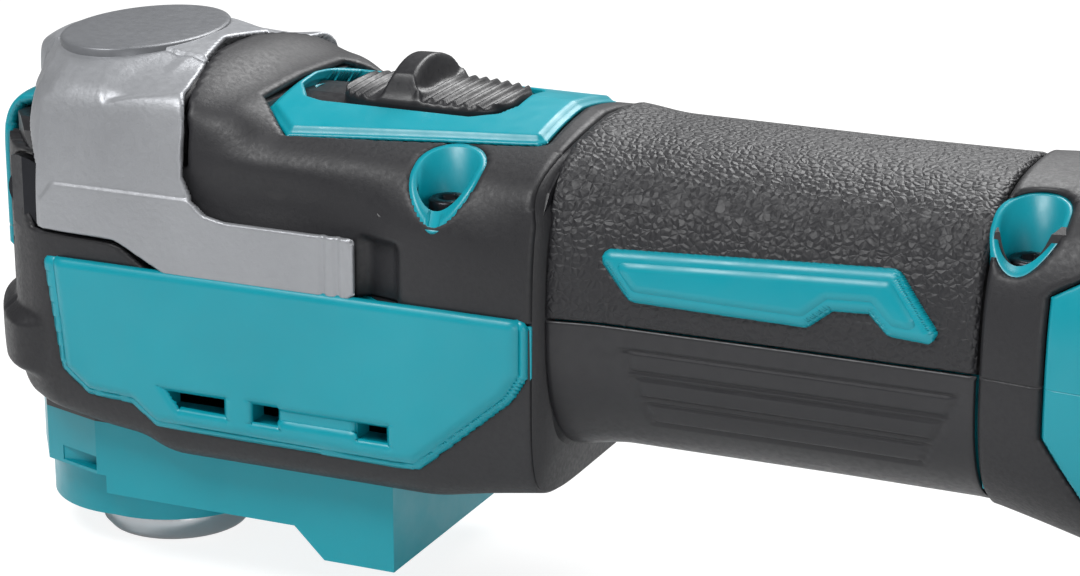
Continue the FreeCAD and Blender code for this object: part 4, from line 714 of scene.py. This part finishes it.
# Tool holder: hardened and ground steel ring on the foot of the spindle, with a chamfered rim and a
# twelve-pointed star recess below that takes the accessory.
HOLDER_POINTS = 360
STAR_FLAT = 11.6 * math.cos(math.pi / 6)
STAR_FOOT, STAR_TOP = 0, 5
turn = np.linspace(0, 2 * math.pi, HOLDER_POINTS, endpoint=False)
star_edge = np.maximum(STAR_FLAT / np.cos(turn % (math.pi / 3) - math.pi / 6),
                       STAR_FLAT / np.cos((turn + math.pi / 6) % (math.pi / 3) - math.pi / 6))
HOLDER_PROFILE = ((12.9, 8), (12.9, 6.0), (14.2, 6.0), (14.5, 5.7), (14.5, 1.5), (13.4, 0.15), (13.1, 0),
                  (star_edge, STAR_FOOT), (star_edge, STAR_TOP), (6.8, STAR_TOP), (6.8, 8))
# Ground and polished steel, bright with a fine grain.
steel = moulded("ground_steel", "b9babd", "c6c7ca", 0.6, 0.006, 0.22, spread=0.05, metallic=1.0)
holder_rings = [np.stack([radius * np.cos(turn), radius * np.sin(turn), np.full(HOLDER_POINTS, float(z))], -1)
                for radius, z in HOLDER_PROFILE]
mesh_piece("holder_ring_steel", np.concatenate(holder_rings),
           grid_faces(len(holder_rings), HOLDER_POINTS, True, True), "spindle", ["tool_holder"],
           steel)

# Tail: elastomer cover that flares to the battery, with a plate of teal ABS on each side and a slot for the
# speed dial. The right plate is drawn in two pieces that meet on the shells' parting line.
TAIL_PANEL = ((184, 79.5), (177.7, 75.8), (177.7, 52.5), (184.8, 41.7), (222, 33), (228, 38), (228, 80),
              (222, 84))
TAIL_END_X = 233.8
DIAL_X, DIAL_HALF, DIAL_WIDE = 205, 11, 3.4
TAIL_PLATES = (("right_upper_tail_plate", 90, 180, ["right_tail_panel"]),
               ("right_lower_tail_plate", -180, -90, []),
               ("left_tail_plate", -90, 90, ["left_tail_panel"]))


def tail_gap(p):
    """Distance to the tail plate's outline seen from the side, away from the middle."""
    return np.where(np.abs(p[..., 1]) > 18, outline_distance(p[..., 0], p[..., 2], TAIL_PANEL), AWAY)


def tail_cover_gap(p):
    """Distance to the tail cover's outline: between groove and battery, outside plates, slot and wells."""
    x, y, z = np.moveaxis(p, -1, 0)
    slot = np.where(z > 70, np.maximum(np.abs(x - DIAL_X) - DIAL_HALF, np.abs(y) - DIAL_WIDE), AWAY)
    return shared(GRIP_END_X + HALF_SEAM - x, x - TAIL_END_X, 0.15 - tail_gap(p), -slot, -well_gap(p))


sheet_piece("tail_cover_skin", handle, np.arange(165.2, 235, 0.8), np.linspace(-math.pi, math.pi, 420),
            tail_cover_gap, stands_for=["tail_cover"], thick=1.9, roll=0.6,
            sink=lambda p: -0.5, material=elastomer)
for name, first, last, stands_for in TAIL_PLATES:
    sheet_piece(name, handle, np.arange(176, 230, 0.4), np.radians(np.linspace(first, last, 200)),
                lambda p: tail_gap(p) + 0.15, stands_for=stands_for, thick=1.8, roll=0.5,
                sink=lambda p: -0.6, material=teal_abs)


# Hard shells: the upper one of black glass-filled nylon under the soft covers, the lower one of teal ABS.
# They keep the shape of the solids, and so do all the pieces inside.
def finish_nodes(material, *names):
    """Gives the nodes that keep their own shape one finish."""
    for name in names:
        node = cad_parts[name]
        node.data.materials.clear()
        node.data.materials.append(material)


finish_nodes(black_nylon, "upper_housing")
finish_nodes(teal_abs, "lower_housing")

# Gear housing: moulded in teal ABS with round edges, closed by a black cover and held by dark screws.
EDGE_ROUND = 0.9


def rounded(*names):
    """Breaks the sharp edges of nodes: their loose triangles are joined, then the edges are bevelled."""
    for name in names:
        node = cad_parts[name]
        node.modifiers.new("join", "WELD").merge_threshold = 1e-5
        bevel = node.modifiers.new("edges", "BEVEL")
        bevel.width = EDGE_ROUND * MM
        bevel.segments = 3
        bevel.limit_method = "ANGLE"
        bevel.angle_limit = math.radians(32)


finish_nodes(teal_abs, "gear_housing")
finish_nodes(black_nylon, "gear_cover")
finish_nodes(black_oxide, "gear_screws")
rounded("gear_housing")

# Spindle and clamp: turned and ground steel parts and their bearings; the lever's cam shaft is blackened.
finish_nodes(steel, "spindle", "swing_arm", "spindle_lower_bearing", "spindle_upper_bearing", "release_yoke",
             "clamp_spring", "clamp_shaft", "clamp_claws")
finish_nodes(black_oxide, "cam_shaft")

# Motor: copper windings on an iron stator in a nylon can, round an iron rotor core with a ring magnet. A
# steel shaft carries its fan, its balance weight and its eccentric; rubber dampers hold the can.
copper = moulded("enamelled_copper", "8a3f1c", "a2522a", 0.8, 0.02, 0.34, metallic=0.8)
iron = moulded("laminated_iron", "55565a", "66676b", 0.5, 0.02, 0.42, metallic=0.8)
magnet = moulded("sintered_magnet", "3b3b3e", "47474a", 0.5, 0.02, 0.5, metallic=0.4)
finish_nodes(copper, "stator_coils")
finish_nodes(iron, "stator_core", "rotor_core")
finish_nodes(magnet, "rotor_magnet")
finish_nodes(black_nylon, "motor_can", "cooling_fan")
finish_nodes(steel, "motor_shaft", "balance_weight", "eccentric_bearing", "motor_upper_bearing",
             "motor_lower_bearing")
finish_nodes(smooth_rubber, "rubber_dampers")

# Electrics: a nylon switch block, the controller and the lamp's board in green lacquer, silicone leads, the
# clear polycarbonate lens of the lamp, and the nylon speed dial on its bracket.
board = moulded("lacquered_circuit_board", "0d4a2c", "12603a", 1.5, 0.01, 0.35)
cable = moulded("silicone_cable", "7d1b1b", "8c2424", 1.0, 0.01, 0.5)
lens = new_material("clear_polycarbonate")
clear = add(lens, "BsdfPrincipled", Base_Color=linear("f4f6f8"), Roughness=0.08, IOR=1.58,
            Transmission_Weight=0.9)
add(lens, "OutputMaterial", Surface=clear.outputs["BSDF"])
finish_nodes(black_nylon, "switch_unit", "speed_dial", "dial_bracket")
finish_nodes(board, "controller", "lamp_board")
finish_nodes(cable, "wiring")
finish_nodes(lens, "lamp_lens")

# Battery: a slide pack in two nylon cases on the tail's rail, with sleeved cells in nylon frames, a board,
# steel blades, a sprung latch button and a clear charge gauge. Its outer edges are round.
sleeve = moulded("cell_sleeve", "2c6a4f", "35785a", 3.0, 0.005, 0.35)
finish_nodes(black_nylon, "battery_rail", "terminal_block", "battery_front_case", "battery_rear_case",
             "battery_latch", "cell_frames")
finish_nodes(steel, "terminal_blades", "latch_spring")
finish_nodes(board, "battery_board")
finish_nodes(sleeve, "battery_cells")
finish_nodes(lens, "charge_gauge")
rounded("battery_front_case", "battery_rear_case", "battery_latch")

# Stage: a pale paper floor under the tool, lit by a large soft key and two weaker lamps. Rays from the
# camera see it and the world as white, and the floor keeps the tool's shadow.
FLOOR_Z, FLOOR_HALF = -0.5, 3000
GLOW, CAMERA_SHARE, OTHER_SHARE = 1.2, 0.72, 0.12
WORLD_LEVEL = 0.16
AIM_AT = (60, 0, 55)
# Each lamp's name, place, diameter and power in watts.
LAMPS = (("key", (-120, -380, 700), 360, 4.6), ("fill", (560, -560, 200), 420, 1.1),
         ("rim", (120, 420, 520), 420, 4))
floor_paper = new_material("paper_floor")
path = add(floor_paper, "LightPath")
paper = add(floor_paper, "BsdfDiffuse", Color=linear("f4f4f4"))
glow = add(floor_paper, "Emission", Color=(1, 1, 1, 1), Strength=GLOW)
share = add(floor_paper, "MapRange", Value=path.outputs["Is Camera Ray"], To_Min=OTHER_SHARE,
            To_Max=CAMERA_SHARE)
mixed = add(floor_paper, "MixShader", _0=share.outputs["Result"], _1=paper.outputs[0], _2=glow.outputs[0])
add(floor_paper, "OutputMaterial", Surface=mixed.outputs[0])
floor_points = np.array([(-1, -1, 0), (1, -1, 0), (1, 1, 0), (-1, 1, 0)]) * FLOOR_HALF + (0, 0, FLOOR_Z)
floor_mesh = bpy.data.meshes.new("floor")
floor_mesh.from_pydata((floor_points * MM).tolist(), [], [(0, 1, 2, 3)])
floor_mesh.materials.append(floor_paper)
floor = bpy.data.objects.new("floor", floor_mesh)
bpy.context.scene.collection.objects.link(floor)
world = bpy.data.worlds.new("studio")
world.use_nodes = True
world.node_tree.nodes.clear()
bpy.context.scene.world = world
path = add(world, "LightPath")
seen = add(world, "Math", {"operation": "MAXIMUM"}, _0=path.outputs["Is Camera Ray"],
           _1=path.outputs["Is Transmission Ray"])
level = add(world, "MapRange", Value=seen.outputs[0], To_Min=WORLD_LEVEL, To_Max=1.0)
sky = add(world, "Background", Color=(1, 1, 1, 1), Strength=level.outputs["Result"])
add(world, "OutputWorld", Surface=sky.outputs[0])
for name, spot, diameter, power in LAMPS:
    light = bpy.data.lights.new(name, "AREA")
    light.shape = "DISK"
    light.size = diameter * MM
    light.energy = power
    lamp = bpy.data.objects.new(name, light)
    lamp.location = [c * MM for c in spot]
    aim = np.array(AIM_AT) - np.array(spot)
    lamp.rotation_euler = (math.atan2(math.hypot(aim[0], aim[1]), -aim[2]), 0, math.atan2(-aim[0], aim[1]))
    bpy.context.scene.collection.objects.link(lamp)
